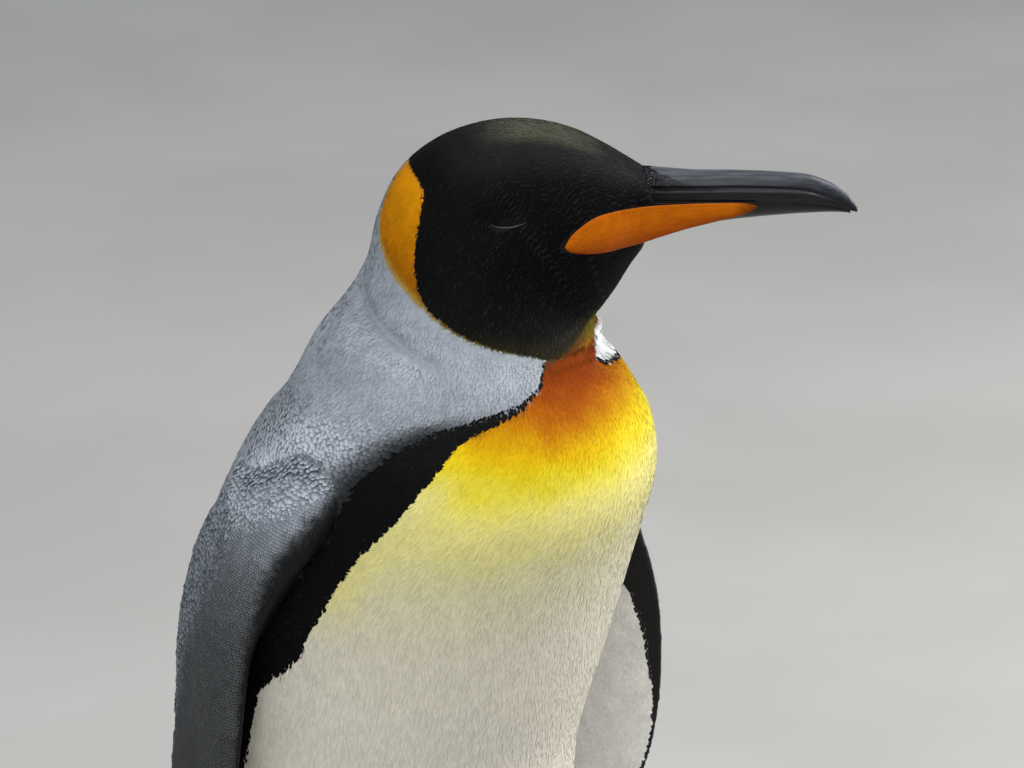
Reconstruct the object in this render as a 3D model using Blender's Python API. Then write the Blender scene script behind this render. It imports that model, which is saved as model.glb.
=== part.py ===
"""A life-size standing king penguin with its neck drawn in and its head turned to its left.

Run with: blender --background --python part.py
Metres, +Z up. The bird faces -Y, so its left is +X; the floor is z = 0.
The body is one loft of planar rings, from between the legs up the trunk and the neck and
round the head to the base of the bill. Thin flat cuts part it into trunk, neck and head.
"""

import math

import bmesh
import bpy
import numpy as np
from mathutils import Matrix, Vector

# ------------------------------------------------------------------ driving dimensions
GAP = 0.0003  # clearance between pieces that meet
HEAD_TURN = math.radians(43)  # yaw of the head to the bird's left
NECK_CENTRE_F = 0.045  # neck axis, forward of the trunk's own axis
PIVOT_Z = 0.677  # height of the hinge line in front of the throat
PIVOT_REACH = 0.076  # from the neck axis forward to that hinge line
RING_POINTS = 30

# Trunk rings, bottom to top: height, centre forward, half depth, half width.
TRUNK = (
    (0.036, -0.052, 0.032, 0.046),
    (0.045, -0.053, 0.060, 0.072),
    (0.075, -0.051, 0.083, 0.092),
    (0.125, -0.043, 0.101, 0.106),
    (0.200, -0.031, 0.112, 0.113),
    (0.290, -0.0225, 0.1105, 0.1105),
    (0.380, -0.0145, 0.1015, 0.1020),
    (0.460, -0.0040, 0.0935, 0.0950),
    (0.520, 0.0075, 0.1005, 0.0990),
    (0.570, 0.0210, 0.1030, 0.1015),
    (0.610, 0.0372, 0.1003, 0.0985),
    (0.635, 0.0455, 0.0930, 0.0915),
    (0.652, 0.0490, 0.0830, 0.0820),
)
NECK_CUT = 12  # the trunk ends at this ring of the table above

# Neck and head rings fan out from the hinge line: angle in degrees from level and backward,
# inner radius (throat and chin), outer radius (nape, crown and forehead), half width.
HEAD = (
    (0.0, 0.010, 0.1425, 0.064),
    (9.0, 0.011, 0.1290, 0.055),
    (18.0, 0.012, 0.1235, 0.049),
    (28.0, 0.013, 0.1270, 0.044),
    (38.0, 0.0145, 0.1300, 0.040),
    (48.0, 0.016, 0.1275, 0.038),
    (58.0, 0.017, 0.1210, 0.0365),
    (67.0, 0.0185, 0.1130, 0.034),
    (76.0, 0.021, 0.1035, 0.030),
    (84.0, 0.0245, 0.0940, 0.0255),
    (91.0, 0.030, 0.0870, 0.0205),
    (97.0, 0.037, 0.0825, 0.0160),
    (102.0, 0.043, 0.0805, 0.0130),
)
HEAD_CUT = 2  # the neck ends at this ring of the table above

# Side view of the bill in the head's own plane, from the hinge line: forward, up.
CULMEN = ((0.014, 0.0815), (0.032, 0.0803), (0.052, 0.0802), (0.072, 0.0794),
          (0.085, 0.0780), (0.095, 0.0740), (0.1025, 0.0685), (0.1065, 0.0635), (0.1075, 0.0606))
GAPE = ((-0.027, 0.0550), (-0.018, 0.0650), (-0.003, 0.0680), (0.015, 0.0682), (0.032, 0.0680),
        (0.052, 0.0676), (0.072, 0.0668), (0.085, 0.0656), (0.097, 0.0634), (0.1068, 0.0605))
BILL_KEEL = ((0.014, 0.0485), (0.026, 0.0520), (0.038, 0.0550), (0.052, 0.0573), (0.072, 0.0592),
             (0.085, 0.0601), (0.096, 0.0605), (0.1045, 0.0600))
BILL_HALF_WIDTH = ((0.012, 0.0122), (0.030, 0.0098), (0.050, 0.0080), (0.070, 0.0065),
                   (0.085, 0.0053), (0.097, 0.0038), (0.1045, 0.0022), (0.1080, 0.0012))
BILL_BACK = 0.0167  # where the culmen leaves the feathers, forward of the hinge line
BILL_STRAIGHT = 0.050  # from here on the bill's rings are upright
BILL_TIP = 0.1068
LOWER_TIP = 0.1035

# Orange plate on each side of the lower bill: forward, lower edge, upper edge, out from middle.
PLATE = (
    (-0.0265, 0.0525, 0.0560, 0.0310),
    (-0.0220, 0.0508, 0.0612, 0.0300),
    (-0.0130, 0.0492, 0.0666, 0.0262),
    (-0.0030, 0.0490, 0.0679, 0.0215),
    (0.0080, 0.0502, 0.0681, 0.0163),
    (0.0180, 0.0525, 0.0679, 0.0129),
    (0.0300, 0.0556, 0.0677, 0.0106),
    (0.0420, 0.0583, 0.0675, 0.0091),
    (0.0540, 0.0612, 0.0672, 0.0081),
    (0.0610, 0.0642, 0.0664, 0.0075),
)
PLATE_HALF_THICK = 0.0016

EYE_RADIUS = 0.0085
EYE_FORWARD, EYE_UP, EYE_OUT = -0.056, 0.067, 0.0305  # from the hinge line, and off the middle

# Flipper: share of the length, chord, thickness, leading edge's distance ahead of the axis.
FLIPPER = (
    (0.00, 0.062, 0.044, 0.036),
    (0.05, 0.078, 0.042, 0.045),
    (0.12, 0.086, 0.034, 0.048),
    (0.20, 0.079, 0.025, 0.042),
    (0.30, 0.070, 0.0165, 0.034),
    (0.42, 0.066, 0.0125, 0.031),
    (0.58, 0.061, 0.0100, 0.026),
    (0.74, 0.052, 0.0082, 0.018),
    (0.87, 0.040, 0.0064, 0.008),
    (0.95, 0.027, 0.0050, -0.001),
    (1.00, 0.011, 0.0034, -0.009),
)
FLIPPER_POINTS = 14
# Each flipper's axis: share of the length, out from the middle, forward, up.
FLIPPER_PATH = {
    "left": ((0.00, 0.050, 0.020, 0.648), (0.05, 0.070, 0.017, 0.630), (0.12, 0.0925, 0.009, 0.608),
             (0.20, 0.109, 0.004, 0.583), (0.32, 0.1275, 0.003, 0.546), (0.47, 0.1440, 0.008, 0.497),
             (0.68, 0.160, 0.004, 0.428), (0.86, 0.167, -0.007, 0.368), (1.00, 0.166, -0.017, 0.321)),
    "right": ((0.00, 0.050, 0.020, 0.648), (0.05, 0.070, 0.017, 0.629), (0.12, 0.0905, 0.008, 0.604),
              (0.20, 0.0985, -0.003, 0.578), (0.32, 0.1027, -0.012, 0.540),
              (0.47, 0.106, -0.014, 0.490), (0.68, 0.1095, -0.018, 0.420),
              (0.86, 0.1125, -0.022, 0.360), (1.00, 0.113, -0.025, 0.312)),
}
FLIPPER_TOE_OUT = {"left": math.radians(20), "right": math.radians(17)}  # leading edge outward

TAIL = (  # share along the tail, half width, half thickness
    (0.0, 0.050, 0.034), (0.30, 0.047, 0.026), (0.55, 0.038, 0.015), (0.80, 0.024, 0.0070),
    (0.94, 0.013, 0.0038), (1.0, 0.007, 0.0026))
TAIL_ROOT = (0.098, 0.150)  # behind the trunk's axis, up
TAIL_TIP = (0.186, 0.0022)

FOOT_OUT = 0.056  # middle of each foot, out from the middle plane
HEEL_F = -0.040
FOOT_TURN = math.radians(14)
TOES = (  # name, fan angle in degrees (outward positive), length, radius at the root, at the tip
    ("inner", -21, 0.070, 0.0100, 0.0074),
    ("middle", 2, 0.088, 0.0115, 0.0082),
    ("outer", 24, 0.080, 0.0105, 0.0076),
)
TOE_FLATTEN = 0.78  # height of a toe over its width
TOE_SINK = 0.35  # share of a toe's half height that its flat sole cuts off
CLAW_LENGTH = 0.024
WEB_THICK = 0.0036
WEB_SCOOP = 0.985  # depth of the web's edge between two toes' ends, as a share of the reach
ANKLE_Z = 0.026
SHANK = (  # height, radius, behind the heel's centre
    (-0.002, 0.0185, 0.002), (0.008, 0.0200, 0.002), (0.018, 0.0190, 0.000), (ANKLE_Z, 0.0190, -0.001))
LEG = (  # height, half depth, half width
    (0.120, 0.058, 0.052), (0.085, 0.056, 0.050), (0.060, 0.051, 0.046), (0.040, 0.043, 0.039),
    (ANKLE_Z, 0.0310, 0.0290))

BLACK = (0.012, 0.013, 0.014)
SILVER = (0.23, 0.25, 0.29)
WHITE = (0.72, 0.69, 0.64)
ORANGE = (0.86, 0.33, 0.02)
HORN = (0.035, 0.038, 0.045)


# ------------------------------------------------------------------ small helpers
def smooth_rows(rows, steps):
    """Catmull-Rom through the rows of a table, with this many steps to each interval."""
    table = np.array(rows, float)
    padded = np.vstack([2 * table[0] - table[1], table, 2 * table[-1] - table[-2]])
    found = []
    for i in range(len(table) - 1):
        a, b, c, d = padded[i:i + 4]
        for t in np.linspace(0, 1, steps, endpoint=False):
            found.append(0.5 * (2 * b + (c - a) * t + (2 * a - 5 * b + 4 * c - d) * t * t
                                + (3 * b - a - 3 * c + d) * t ** 3))
    return np.array(found + [table[-1]])


def along(rows, where, column=1):
    """A table's column read at a place along its first column, between its rows."""
    table = smooth_rows(rows, 6)
    return float(np.interp(where, table[:, 0], table[:, column]))


def material(name, colour, roughness):
    """A Principled BSDF of one plain colour."""
    made = bpy.data.materials.new(name)
    made.use_nodes = True
    shader = made.node_tree.nodes["Principled BSDF"]
    shader.inputs["Base Color"].default_value = (*colour, 1)
    shader.inputs["Roughness"].default_value = roughness
    return made


def collection(name):
    made = bpy.data.collections.new(name)
    bpy.context.scene.collection.children.link(made)
    return made


def loft(name, rings, home, finish=None):
    """A closed solid through rings of the same number of points, with flat ends."""
    mesh = bmesh.new()
    rows = [[mesh.verts.new(p) for p in ring] for ring in rings]
    count = len(rows[0])
    for low, high in zip(rows, rows[1:]):
        for i in range(count):
            j = (i + 1) % count
            mesh.faces.new((low[i], low[j], high[j], high[i]))
    mesh.faces.new(rows[0][::-1])
    mesh.faces.new(rows[-1])
    bmesh.ops.recalc_face_normals(mesh, faces=mesh.faces)
    data = bpy.data.meshes.new(name)
    mesh.to_mesh(data)
    mesh.free()
    data.shade_smooth()
    data.set_sharp_from_angle(angle=math.radians(50))
    made = bpy.data.objects.new(name, data)
    home.objects.link(made)
    if finish:
        data.materials.append(finish)
    return made


def cutter(made):
    """Marks an object as a tool that only cuts others."""
    made.hide_render = True
    made.display_type = "WIRE"
    return made


def boolean(piece, tool, operation="DIFFERENCE"):
    """Cuts or joins a piece with a tool, by the exact solver."""
    cut = piece.modifiers.new(f"{operation.lower()} {tool.name}", "BOOLEAN")
    cut.operation = operation
    cut.object = tool
    return piece


def settled(piece):
    """The piece with its modifiers applied to its mesh."""
    graph = bpy.context.evaluated_depsgraph_get()
    data = bpy.data.meshes.new_from_object(piece.evaluated_get(graph))
    piece.modifiers.clear()
    piece.data = data
    return piece


# ------------------------------------------------------------------ the body's rings
def heading(turn):
    """The forward and the left directions of something turned to the bird's left."""
    forward = Vector((math.sin(turn), -math.cos(turn), 0))
    return forward, Vector((math.cos(turn), math.sin(turn), 0))


def pivot():
    forward, _ = heading(HEAD_TURN)
    return Vector((0, -NECK_CENTRE_F, PIVOT_Z)) + forward * PIVOT_REACH


def in_head(forward, up, out=0.0):
    """A point given in the head's own plane, from the hinge line in front of the throat."""
    ahead, left = heading(HEAD_TURN)
    return pivot() + ahead * forward + left * out + Vector((0, 0, up))


def body_stations():
    """Every ring of the body as (centre x, y, z, tilt, turn, half depth, half width)."""
    rows = []
    for z, centre, depth, width in TRUNK:
        turn = HEAD_TURN * max(0.0, (z - 0.57) / (PIVOT_Z - 0.57)) ** 1.5
        rows.append((0.0, -centre, z, 0.0, turn, depth, width))
    for angle, inner, outer, width in HEAD:
        tilt = math.radians(angle)
        reach = (inner + outer) / 2
        at = in_head(-math.cos(tilt) * reach, math.sin(tilt) * reach)
        rows.append((*at, tilt, HEAD_TURN, (outer - inner) / 2, width))
    return rows


def body_ring(station, swell=0.0):
    """The points of one ring: an oval, narrower on its front side the higher it is on the head."""
    x, y, z, tilt, turn, depth, width = station
    forward, left = heading(turn)
    front = forward * math.cos(tilt) - Vector((0, 0, 1)) * math.sin(tilt)
    narrow = 0.16 * math.sin(min(tilt, math.pi / 2)) if tilt > 0 else 0.0
    points = []
    for i in range(RING_POINTS):
        angle = 2 * math.pi * i / RING_POINTS
        taper = 1 - narrow * math.cos(angle)
        points.append(Vector((x, y, z)) + front * ((depth + swell) * math.cos(angle))
                      + left * ((width + swell) * math.sin(angle) * taper))
    return points


def ring_normal(station):
    """The direction in which the body runs on through a ring, towards the bill."""
    forward, _ = heading(station[4])
    return Vector((0, 0, 1)) * math.cos(station[3]) + forward * math.sin(station[3])


def make_body(home, tools, finishes):
    """Trunk, neck and head, and a slightly larger trunk that cuts what grows from it."""
    steps = 2
    rings = smooth_rows(body_stations(), steps)
    neck_at = steps * NECK_CUT
    head_at = steps * (len(TRUNK) + HEAD_CUT)

    def span(first, last, start_gap):
        found = [body_ring(s) for s in rings[first:last + 1]]
        if start_gap:
            step = ring_normal(rings[first]) * GAP
            found[0] = [p + step for p in found[0]]
        return found

    trunk = loft("trunk", span(0, neck_at, False), home, finishes["white"])
    neck = loft("neck", span(neck_at, head_at, True), home, finishes["silver"])
    head = loft("head", span(head_at, len(rings) - 1, True), home, finishes["black"])
    wide = loft("trunk_cutter", [body_ring(s, GAP) for s in rings[:neck_at + 3]], tools)
    return trunk, neck, head, cutter(wide)


# ------------------------------------------------------------------ bill, plates and eyes
def bill_ring(forward, low, high, width, dome):
    """Half an oval that stands on (dome 1) or hangs from (dome -1) the closed edge of the bill.

    The first rings lean as the head's last ring does, so the bill meets the head face to face.
    """
    last = math.radians(HEAD[-1][0])
    upright = min(1.0, (forward - BILL_BACK) / (BILL_STRAIGHT - BILL_BACK))
    lean = -math.cos(last) / math.sin(last) * (1 - upright)
    culmen = HEAD[-1][2] * math.sin(last)
    points = []
    for i in range(9):
        angle = math.pi * i / 8
        out = width * math.cos(angle) * (1 - 0.12 * math.sin(angle))
        rise = (high - low) * math.sin(angle) ** 0.85
        up = low + rise if dome > 0 else high - rise
        points.append(in_head(forward + GAP * 1.1 + lean * (up - culmen), up, out))
    return points


def make_bill(home, finishes):
    upper, lower = [], []
    for forward in np.linspace(BILL_BACK, BILL_TIP, 16):
        edge = along(GAPE, forward)
        top = max(along(CULMEN, forward), edge + 0.0016)
        upper.append(bill_ring(forward, edge + GAP / 2, top, along(BILL_HALF_WIDTH, forward), 1))
    for forward in np.linspace(BILL_BACK, LOWER_TIP, 14):
        edge = along(GAPE, forward)
        keel = min(along(BILL_KEEL, forward), edge - 0.0016)
        width = along(BILL_HALF_WIDTH, forward) * 0.93
        lower.append(bill_ring(forward, keel, edge - GAP / 2, width, -1))
    return (loft("bill_upper", upper, home, finishes["horn"]),
            loft("bill_lower", lower, home, finishes["horn"]))


def plate_rings(side, swell=0.0):
    """Rings of one plate: a thin upright lens that follows the side of the face and the bill."""
    rows = smooth_rows(PLATE, 1)
    ends = (rows[0, 0] - swell, rows[-1, 0] + swell)
    rings = []
    for n, (forward, low, high, out) in enumerate(rows):
        forward = {0: ends[0], len(rows) - 1: ends[1]}.get(n, forward)
        middle, half = (low + high) / 2, (high - low) / 2 + swell
        lean = 0.12 * half
        thick = PLATE_HALF_THICK + swell
        rings.append([in_head(forward, middle + half * math.cos(a),
                              side * (out + lean * math.cos(a) + thick * math.sin(a)))
                      for a in np.arange(12) * math.tau / 12])
    return rings


def make_plates(home, tools, finishes, head, bill_lower, bill_upper):
    for side, name in ((1, "left"), (-1, "right")):
        loft(f"bill_plate_{name}", plate_rings(side), home, finishes["orange"])
        room = cutter(loft(f"plate_cutter_{name}", plate_rings(side, GAP), tools))
        for piece in (head, bill_lower, bill_upper):
            boolean(piece, room)


def make_eyes(home, tools, finishes, head):
    for side, name in ((1, "left"), (-1, "right")):
        at = in_head(EYE_FORWARD, EYE_UP, side * EYE_OUT)
        for kind, radius, into in (("eye", EYE_RADIUS, home), ("socket", EYE_RADIUS + GAP, tools)):
            mesh = bmesh.new()
            bmesh.ops.create_uvsphere(mesh, u_segments=12, v_segments=8, radius=radius)
            data = bpy.data.meshes.new(f"{kind}_{name}")
            mesh.to_mesh(data)
            mesh.free()
            data.shade_smooth()
            ball = bpy.data.objects.new(f"{kind}_{name}", data)
            into.objects.link(ball)
            ball.location = at
            if kind == "eye":
                data.materials.append(finishes["eye"])
            else:
                boolean(head, cutter(ball))


# ------------------------------------------------------------------ flippers and tail
def flipper_rings(side, name):
    """Rings down a flipper, each an aerofoil whose thick front edge is the leading edge."""
    toe_out = FLIPPER_TOE_OUT[name]
    chord_way = Vector((side * math.sin(toe_out), -math.cos(toe_out), 0))
    face_way = Vector((side * math.cos(toe_out), math.sin(toe_out), 0))
    path = smooth_rows(FLIPPER_PATH[name], 4)
    rings = []
    for share, chord, thick, lead in smooth_rows(FLIPPER, 2):
        out, forward, up = (float(np.interp(share, path[:, 0], path[:, n])) for n in (1, 2, 3))
        axis = Vector((side * out, -forward, up))
        ring = []
        for i in range(FLIPPER_POINTS):
            angle = math.tau * i / FLIPPER_POINTS
            back = lead - chord * (1 - math.cos(angle)) / 2
            fullness = math.sin(angle) * (0.62 + 0.38 * math.cos(angle))
            ring.append(axis + chord_way * back + face_way * (fullness * thick / 2 * 1.25))
        rings.append(ring)
    return rings


def make_flippers(home, finishes, trunk_cutter):
    for side, name in ((1, "left"), (-1, "right")):
        flipper = loft(f"flipper_{name}", flipper_rings(side, name), home, finishes["flipper"])
        boolean(flipper, trunk_cutter)


def make_tail(home, finishes, trunk_cutter):
    """A short stiff wedge that runs down and back from the rump until its tip meets the floor."""
    back = np.array([TAIL_ROOT[0], TAIL_TIP[0]])
    up = np.array([TAIL_ROOT[1], TAIL_TIP[1]])
    run = Vector((0, back[1] - back[0], up[1] - up[0])).normalized()
    face = Vector((0, -run.z, run.y))
    rings = []
    for share, width, thick in smooth_rows(TAIL, 2):
        at = Vector((0, back[0] + (back[1] - back[0]) * share, up[0] + (up[1] - up[0]) * share))
        ring = []
        for i in range(16):
            angle = math.tau * i / 16
            p = at + Vector((width * math.cos(angle), 0, 0)) + face * (thick * math.sin(angle))
            p.z = max(p.z, 0.0)
            ring.append(p)
        rings.append(ring)
    boolean(loft("tail", rings, home, finishes["black"]), trunk_cutter)


# ------------------------------------------------------------------ legs and feet
def foot_place(side):
    """The matrix that puts a foot, made pointing along -Y from its heel, under the bird."""
    return (Matrix.Translation((side * FOOT_OUT, -HEEL_F, 0))
            @ Matrix.Rotation(side * FOOT_TURN, 4, "Z"))


def toe_axis(angle, length, share):
    """Where a toe's middle line is, from the heel, on the ground plan."""
    turn = math.radians(angle) * (0.35 + 0.65 * share)
    return Vector((math.sin(turn), -math.cos(turn), 0)) * (0.012 + length * share)


def toe_rings(angle, length, root, tip, side):
    rings = []
    for share in np.linspace(0, 1, 6):
        knuckle = 1 + 0.08 * math.cos(share * 3 * math.tau)
        radius = (root + (tip - root) * share) * knuckle
        half = radius * TOE_FLATTEN
        at = toe_axis(angle * side, length, share)
        along_toe = (toe_axis(angle * side, length, share + 0.02) - at).normalized()
        across = Vector((-along_toe.y, along_toe.x, 0))
        rings.append([at + across * (radius * math.cos(a))
                      + Vector((0, 0, half * (1 - TOE_SINK) + half * math.sin(a)))
                      for a in np.arange(10) * math.tau / 10])
    return rings


def web_outline(side):
    """The web's edge on the ground plan: out along each toe, and scooped between the toes."""
    outline = [Vector((0, 0.004, 0))]
    ends = [toe_axis(a * side, length, 0.96) for _, a, length, _, _ in TOES]
    for n, end in enumerate(ends):
        outline.append(end)
        if n + 1 < len(ends):
            scoop = (end + ends[n + 1]) / 2 * WEB_SCOOP
            outline += [end.lerp(scoop, 0.5) * 0.99, scoop, scoop.lerp(ends[n + 1], 0.5) * 0.99]
    return outline


def make_foot(side, name, home, tools, finishes):
    place = foot_place(side)
    low, high = WEB_THICK * 0.3, WEB_THICK * 1.3
    web = [[p + Vector((0, 0, z)) for p in web_outline(side)] for z in (low, high)]
    foot = loft(f"foot_{name}", web, home, finishes["foot"])
    pads = []
    for toe, angle, length, root, tip in TOES:
        pads.append(loft(f"toe_{name}_{toe}", toe_rings(angle, length, root, tip, side), tools))
    shank = [[Vector((r * math.cos(a), r * math.sin(a) + back, z))
              for a in np.arange(14) * math.tau / 14]
             for z, r, back in SHANK]
    pads.append(loft(f"shank_{name}", shank, tools))
    for pad in pads:
        boolean(foot, cutter(pad), "UNION")
    foot = settled(foot)
    ground = [[Vector((x, y, z)) for x, y in ((-0.2, -0.2), (0.2, -0.2), (0.2, 0.2), (-0.2, 0.2))]
              for z in (-0.05, 0.0)]
    boolean(foot, cutter(loft(f"ground_{name}", ground, tools)))
    foot = settled(foot)
    foot.data.transform(place)
    return foot


def make_claws(side, name, home, tools, finishes, foot):
    """Stout claws that run on from the toes and bend down to the floor."""
    place = foot_place(side)
    for toe, angle, length, _, tip in TOES:
        start = toe_axis(angle * side, length, 0.95)
        ahead = (start - toe_axis(angle * side, length, 0.9)).normalized()
        across = Vector((-ahead.y, ahead.x, 0))
        shapes = {}
        for kind, swell in (("claw", 0.0), ("nail_cutter", GAP)):
            rings = []
            for share in np.linspace(0, 1, 6):
                thick = tip * 0.62 * (1 - 0.86 * share ** 1.5) + swell
                rise = tip * 0.72 * (1 - share ** 2 * 0.82)
                at = start + ahead * (CLAW_LENGTH * share)
                rings.append([place @ (at + across * (thick * 0.8 * math.cos(a))
                              + Vector((0, 0, max(0.0 - swell, rise + thick * math.sin(a)))))
                              for a in np.arange(8) * math.tau / 8])
            into = home if kind == "claw" else tools
            shapes[kind] = loft(f"{kind}_{name}_{toe}", rings, into, finishes["claw"])
        boolean(foot, cutter(shapes["nail_cutter"]))


def make_legs(home, tools, finishes, trunk_cutter):
    for side, name in ((1, "left"), (-1, "right")):
        foot = make_foot(side, name, home, tools, finishes)
        make_claws(side, name, home, tools, finishes, foot)
        rings = [[Vector((side * (FOOT_OUT - 0.004) + width * math.cos(a),
                          -HEEL_F + depth * math.sin(a) + 0.004, height))
                  for a in np.arange(16) * math.tau / 16]
                 for height, depth, width in reversed(smooth_rows(LEG, 2))]
        rings[0] = [p + Vector((0, 0, GAP)) for p in rings[0]]
        boolean(loft(f"leg_{name}", rings, home, finishes["white"]), trunk_cutter)


def centre_on_floor(home, tools):
    """Moves everything so that the origin is at the middle of the bird's box, on the floor."""
    bpy.context.view_layer.update()
    graph = bpy.context.evaluated_depsgraph_get()
    corners = np.array([piece.evaluated_get(graph).matrix_world @ Vector(c)
                        for piece in home.objects for c in piece.evaluated_get(graph).bound_box])
    low, high = corners.min(0), corners.max(0)
    shift = Vector((-(low[0] + high[0]) / 2, -(low[1] + high[1]) / 2, -low[2]))
    for piece in [*home.objects, *tools.objects]:
        piece.location += shift
    print("origin shift", [round(v, 5) for v in shift], "size", (high - low).round(4))


def main():
    for old in list(bpy.data.objects):
        bpy.data.objects.remove(old)
    home, tools = collection("king_penguin"), collection("cutters")
    finishes = {
        "black": material("black_plumage", BLACK, 0.6),
        "silver": material("silver_plumage", SILVER, 0.6),
        "white": material("white_plumage", WHITE, 0.8),
        "flipper": material("flipper_plumage", SILVER, 0.5),
        "orange": material("plate_horn", ORANGE, 0.35),
        "horn": material("bill_horn", HORN, 0.35),
        "claw": material("claw_horn", HORN, 0.4),
        "foot": material("foot_skin", HORN, 0.6),
        "eye": material("eye", (0.05, 0.02, 0.01), 0.1),
    }
    _, _, head, trunk_cutter = make_body(home, tools, finishes)
    bill_upper, bill_lower = make_bill(home, finishes)
    make_plates(home, tools, finishes, head, bill_lower, bill_upper)
    make_eyes(home, tools, finishes, head)
    make_flippers(home, finishes, trunk_cutter)
    make_tail(home, finishes, trunk_cutter)
    make_legs(home, tools, finishes, trunk_cutter)
    centre_on_floor(home, tools)


main()
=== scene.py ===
"""A standing king penguin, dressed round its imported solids.

One skin replaces the solids of flesh. Over it lies a coat of thin solid feathers, laid in
staggered rows on charts of the body, the flippers, the tail and the legs. Bill, plates, eyes,
lids and claws are surfaces of their own. Lengths are metres, +Z is up and the bird faces -Y.
"""

from __future__ import annotations

import logging
import math
from collections.abc import Callable
from dataclasses import dataclass, field
from enum import Enum

import bmesh
import bpy
import numpy as np
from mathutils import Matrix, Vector


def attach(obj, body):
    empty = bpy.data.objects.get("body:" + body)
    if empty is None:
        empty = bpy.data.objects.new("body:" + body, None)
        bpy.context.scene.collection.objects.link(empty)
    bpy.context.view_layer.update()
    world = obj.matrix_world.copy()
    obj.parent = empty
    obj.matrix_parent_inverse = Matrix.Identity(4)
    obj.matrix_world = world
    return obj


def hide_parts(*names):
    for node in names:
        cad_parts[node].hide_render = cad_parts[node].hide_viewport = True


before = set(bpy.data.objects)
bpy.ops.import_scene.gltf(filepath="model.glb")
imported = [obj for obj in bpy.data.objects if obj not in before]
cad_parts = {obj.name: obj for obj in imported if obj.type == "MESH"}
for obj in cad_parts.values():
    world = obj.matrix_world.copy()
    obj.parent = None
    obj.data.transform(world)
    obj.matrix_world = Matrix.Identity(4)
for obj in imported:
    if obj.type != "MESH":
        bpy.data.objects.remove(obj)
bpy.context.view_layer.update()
BODY = "root"
ORIGIN = np.array([-0.02123, -0.00412, 0.0])  # the body axis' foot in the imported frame
HEAD_TURN = math.radians(43)
AHEAD = np.array([math.sin(HEAD_TURN), -math.cos(HEAD_TURN), 0.0])  # the way the bill points
LEFT = np.array([math.cos(HEAD_TURN), math.sin(HEAD_TURN), 0.0])  # the head's left
UP = np.array([0.0, 0.0, 1.0])
GOLDEN_STEP = 0.618034  # how far each even row starts on from the one before, so that none line up
log = logging.getLogger("king_penguin")
Array = np.ndarray


# ------------------------------------------------------------------ numbers
def smooth(low: float, high: float, x: Array) -> Array:
    """0 below low, 1 above high, and a smooth S between."""
    t = np.clip((np.asarray(x, float) - low) / (high - low), 0, 1)
    return t * t * (3 - 2 * t)


def spline(rows: tuple, where: Array) -> Array:
    """Catmull-Rom curve through the rows of a table.

    Args:
        rows: Rows of numbers, evenly spaced along the curve.
        where: Row numbers, whole or between rows.

    Returns:
        One row of numbers for each place asked for.
    """
    table = np.asarray(rows, float)
    padded = np.vstack([2 * table[0] - table[1], table, 2 * table[-1] - table[-2]])
    where = np.clip(where, 0, len(table) - 1 - 1e-9)
    first = np.floor(where).astype(int)
    t = (where - first)[..., None]
    a, b, c, d = (padded[first + k] for k in range(4))
    return 0.5 * (2 * b + (c - a) * t + (2 * a - 5 * b + 4 * c - d) * t * t
                  + (3 * b - a - 3 * c + d) * t ** 3)


def profile(rows: tuple, x: Array) -> Array:
    """The later columns of a table, read smoothly at places x along its first column."""
    table = np.asarray(rows, float)
    return spline(table[:, 1:], np.interp(x, table[:, 0], np.arange(len(table))))


def line(rows: tuple, x: Array) -> Array:
    """A two-column table read straight between its rows."""
    table = np.asarray(rows, float)
    return np.interp(x, table[:, 0], table[:, 1])


def lattice_noise(points: Array, size: float, seed: int) -> Array:
    """Smooth value noise from -1 to 1.

    Each corner of a cubic lattice gets a number hashed from its place, and a point reads the
    eight corners round it, weighted by a smooth S along each side.

    Args:
        points: Places, three numbers each.
        size: Side of a lattice cell in metres.
        seed: Picks one noise among many.

    Returns:
        One number for each point.
    """
    scaled = np.asarray(points, float) / size + 1000.0
    cell = np.floor(scaled).astype(np.int64)
    t = scaled - cell
    t = t * t * (3 - 2 * t)
    total = np.zeros(scaled.shape[:-1])
    for corner in range(8):
        step = np.array([corner & 1, corner >> 1 & 1, corner >> 2 & 1])
        at = (cell + step).astype(np.uint64)
        mixed = (at[..., 0] * np.uint64(73856093) ^ at[..., 1] * np.uint64(19349663)
                 ^ at[..., 2] * np.uint64(83492791) ^ np.uint64(seed * 2654435761 % 2 ** 32))
        mixed = (mixed ^ (mixed >> np.uint64(13))) * np.uint64(1274126177) % np.uint64(2 ** 32)
        mixed = (mixed ^ (mixed >> np.uint64(16))) % np.uint64(2 ** 20)
        weight = np.prod(np.where(step == 1, t, 1 - t), axis=-1)
        total += weight * (mixed.astype(float) / 2 ** 19 - 1)
    return total


def unit(vectors: Array) -> Array:
    """Each vector at a length of one."""
    return vectors / np.maximum(np.linalg.norm(vectors, axis=-1, keepdims=True), 1e-12)


def signed_degrees(angle: Array) -> Array:
    """Angles in radians as degrees from -180 to 180."""
    return np.degrees((angle + math.pi) % math.tau - math.pi)


def side_name(side: int) -> str:
    """The word for a side, where 1 is the left and -1 the right."""
    return "left" if side > 0 else "right"


def blend(first: Array, second: Array | tuple, share: Array) -> Array:
    """Goes from the first colours to the second by a share for each."""
    share = np.asarray(share, float)[..., None]
    return first * (1 - share) + np.asarray(second) * share


def colour_stops(stops: tuple, x: Array) -> Array:
    """Colours along a line of stops, each stop being (place, red, green, blue)."""
    table = np.asarray(stops, float)
    return np.stack([np.interp(x, table[:, 0], table[:, c]) for c in (1, 2, 3)], -1)


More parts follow.
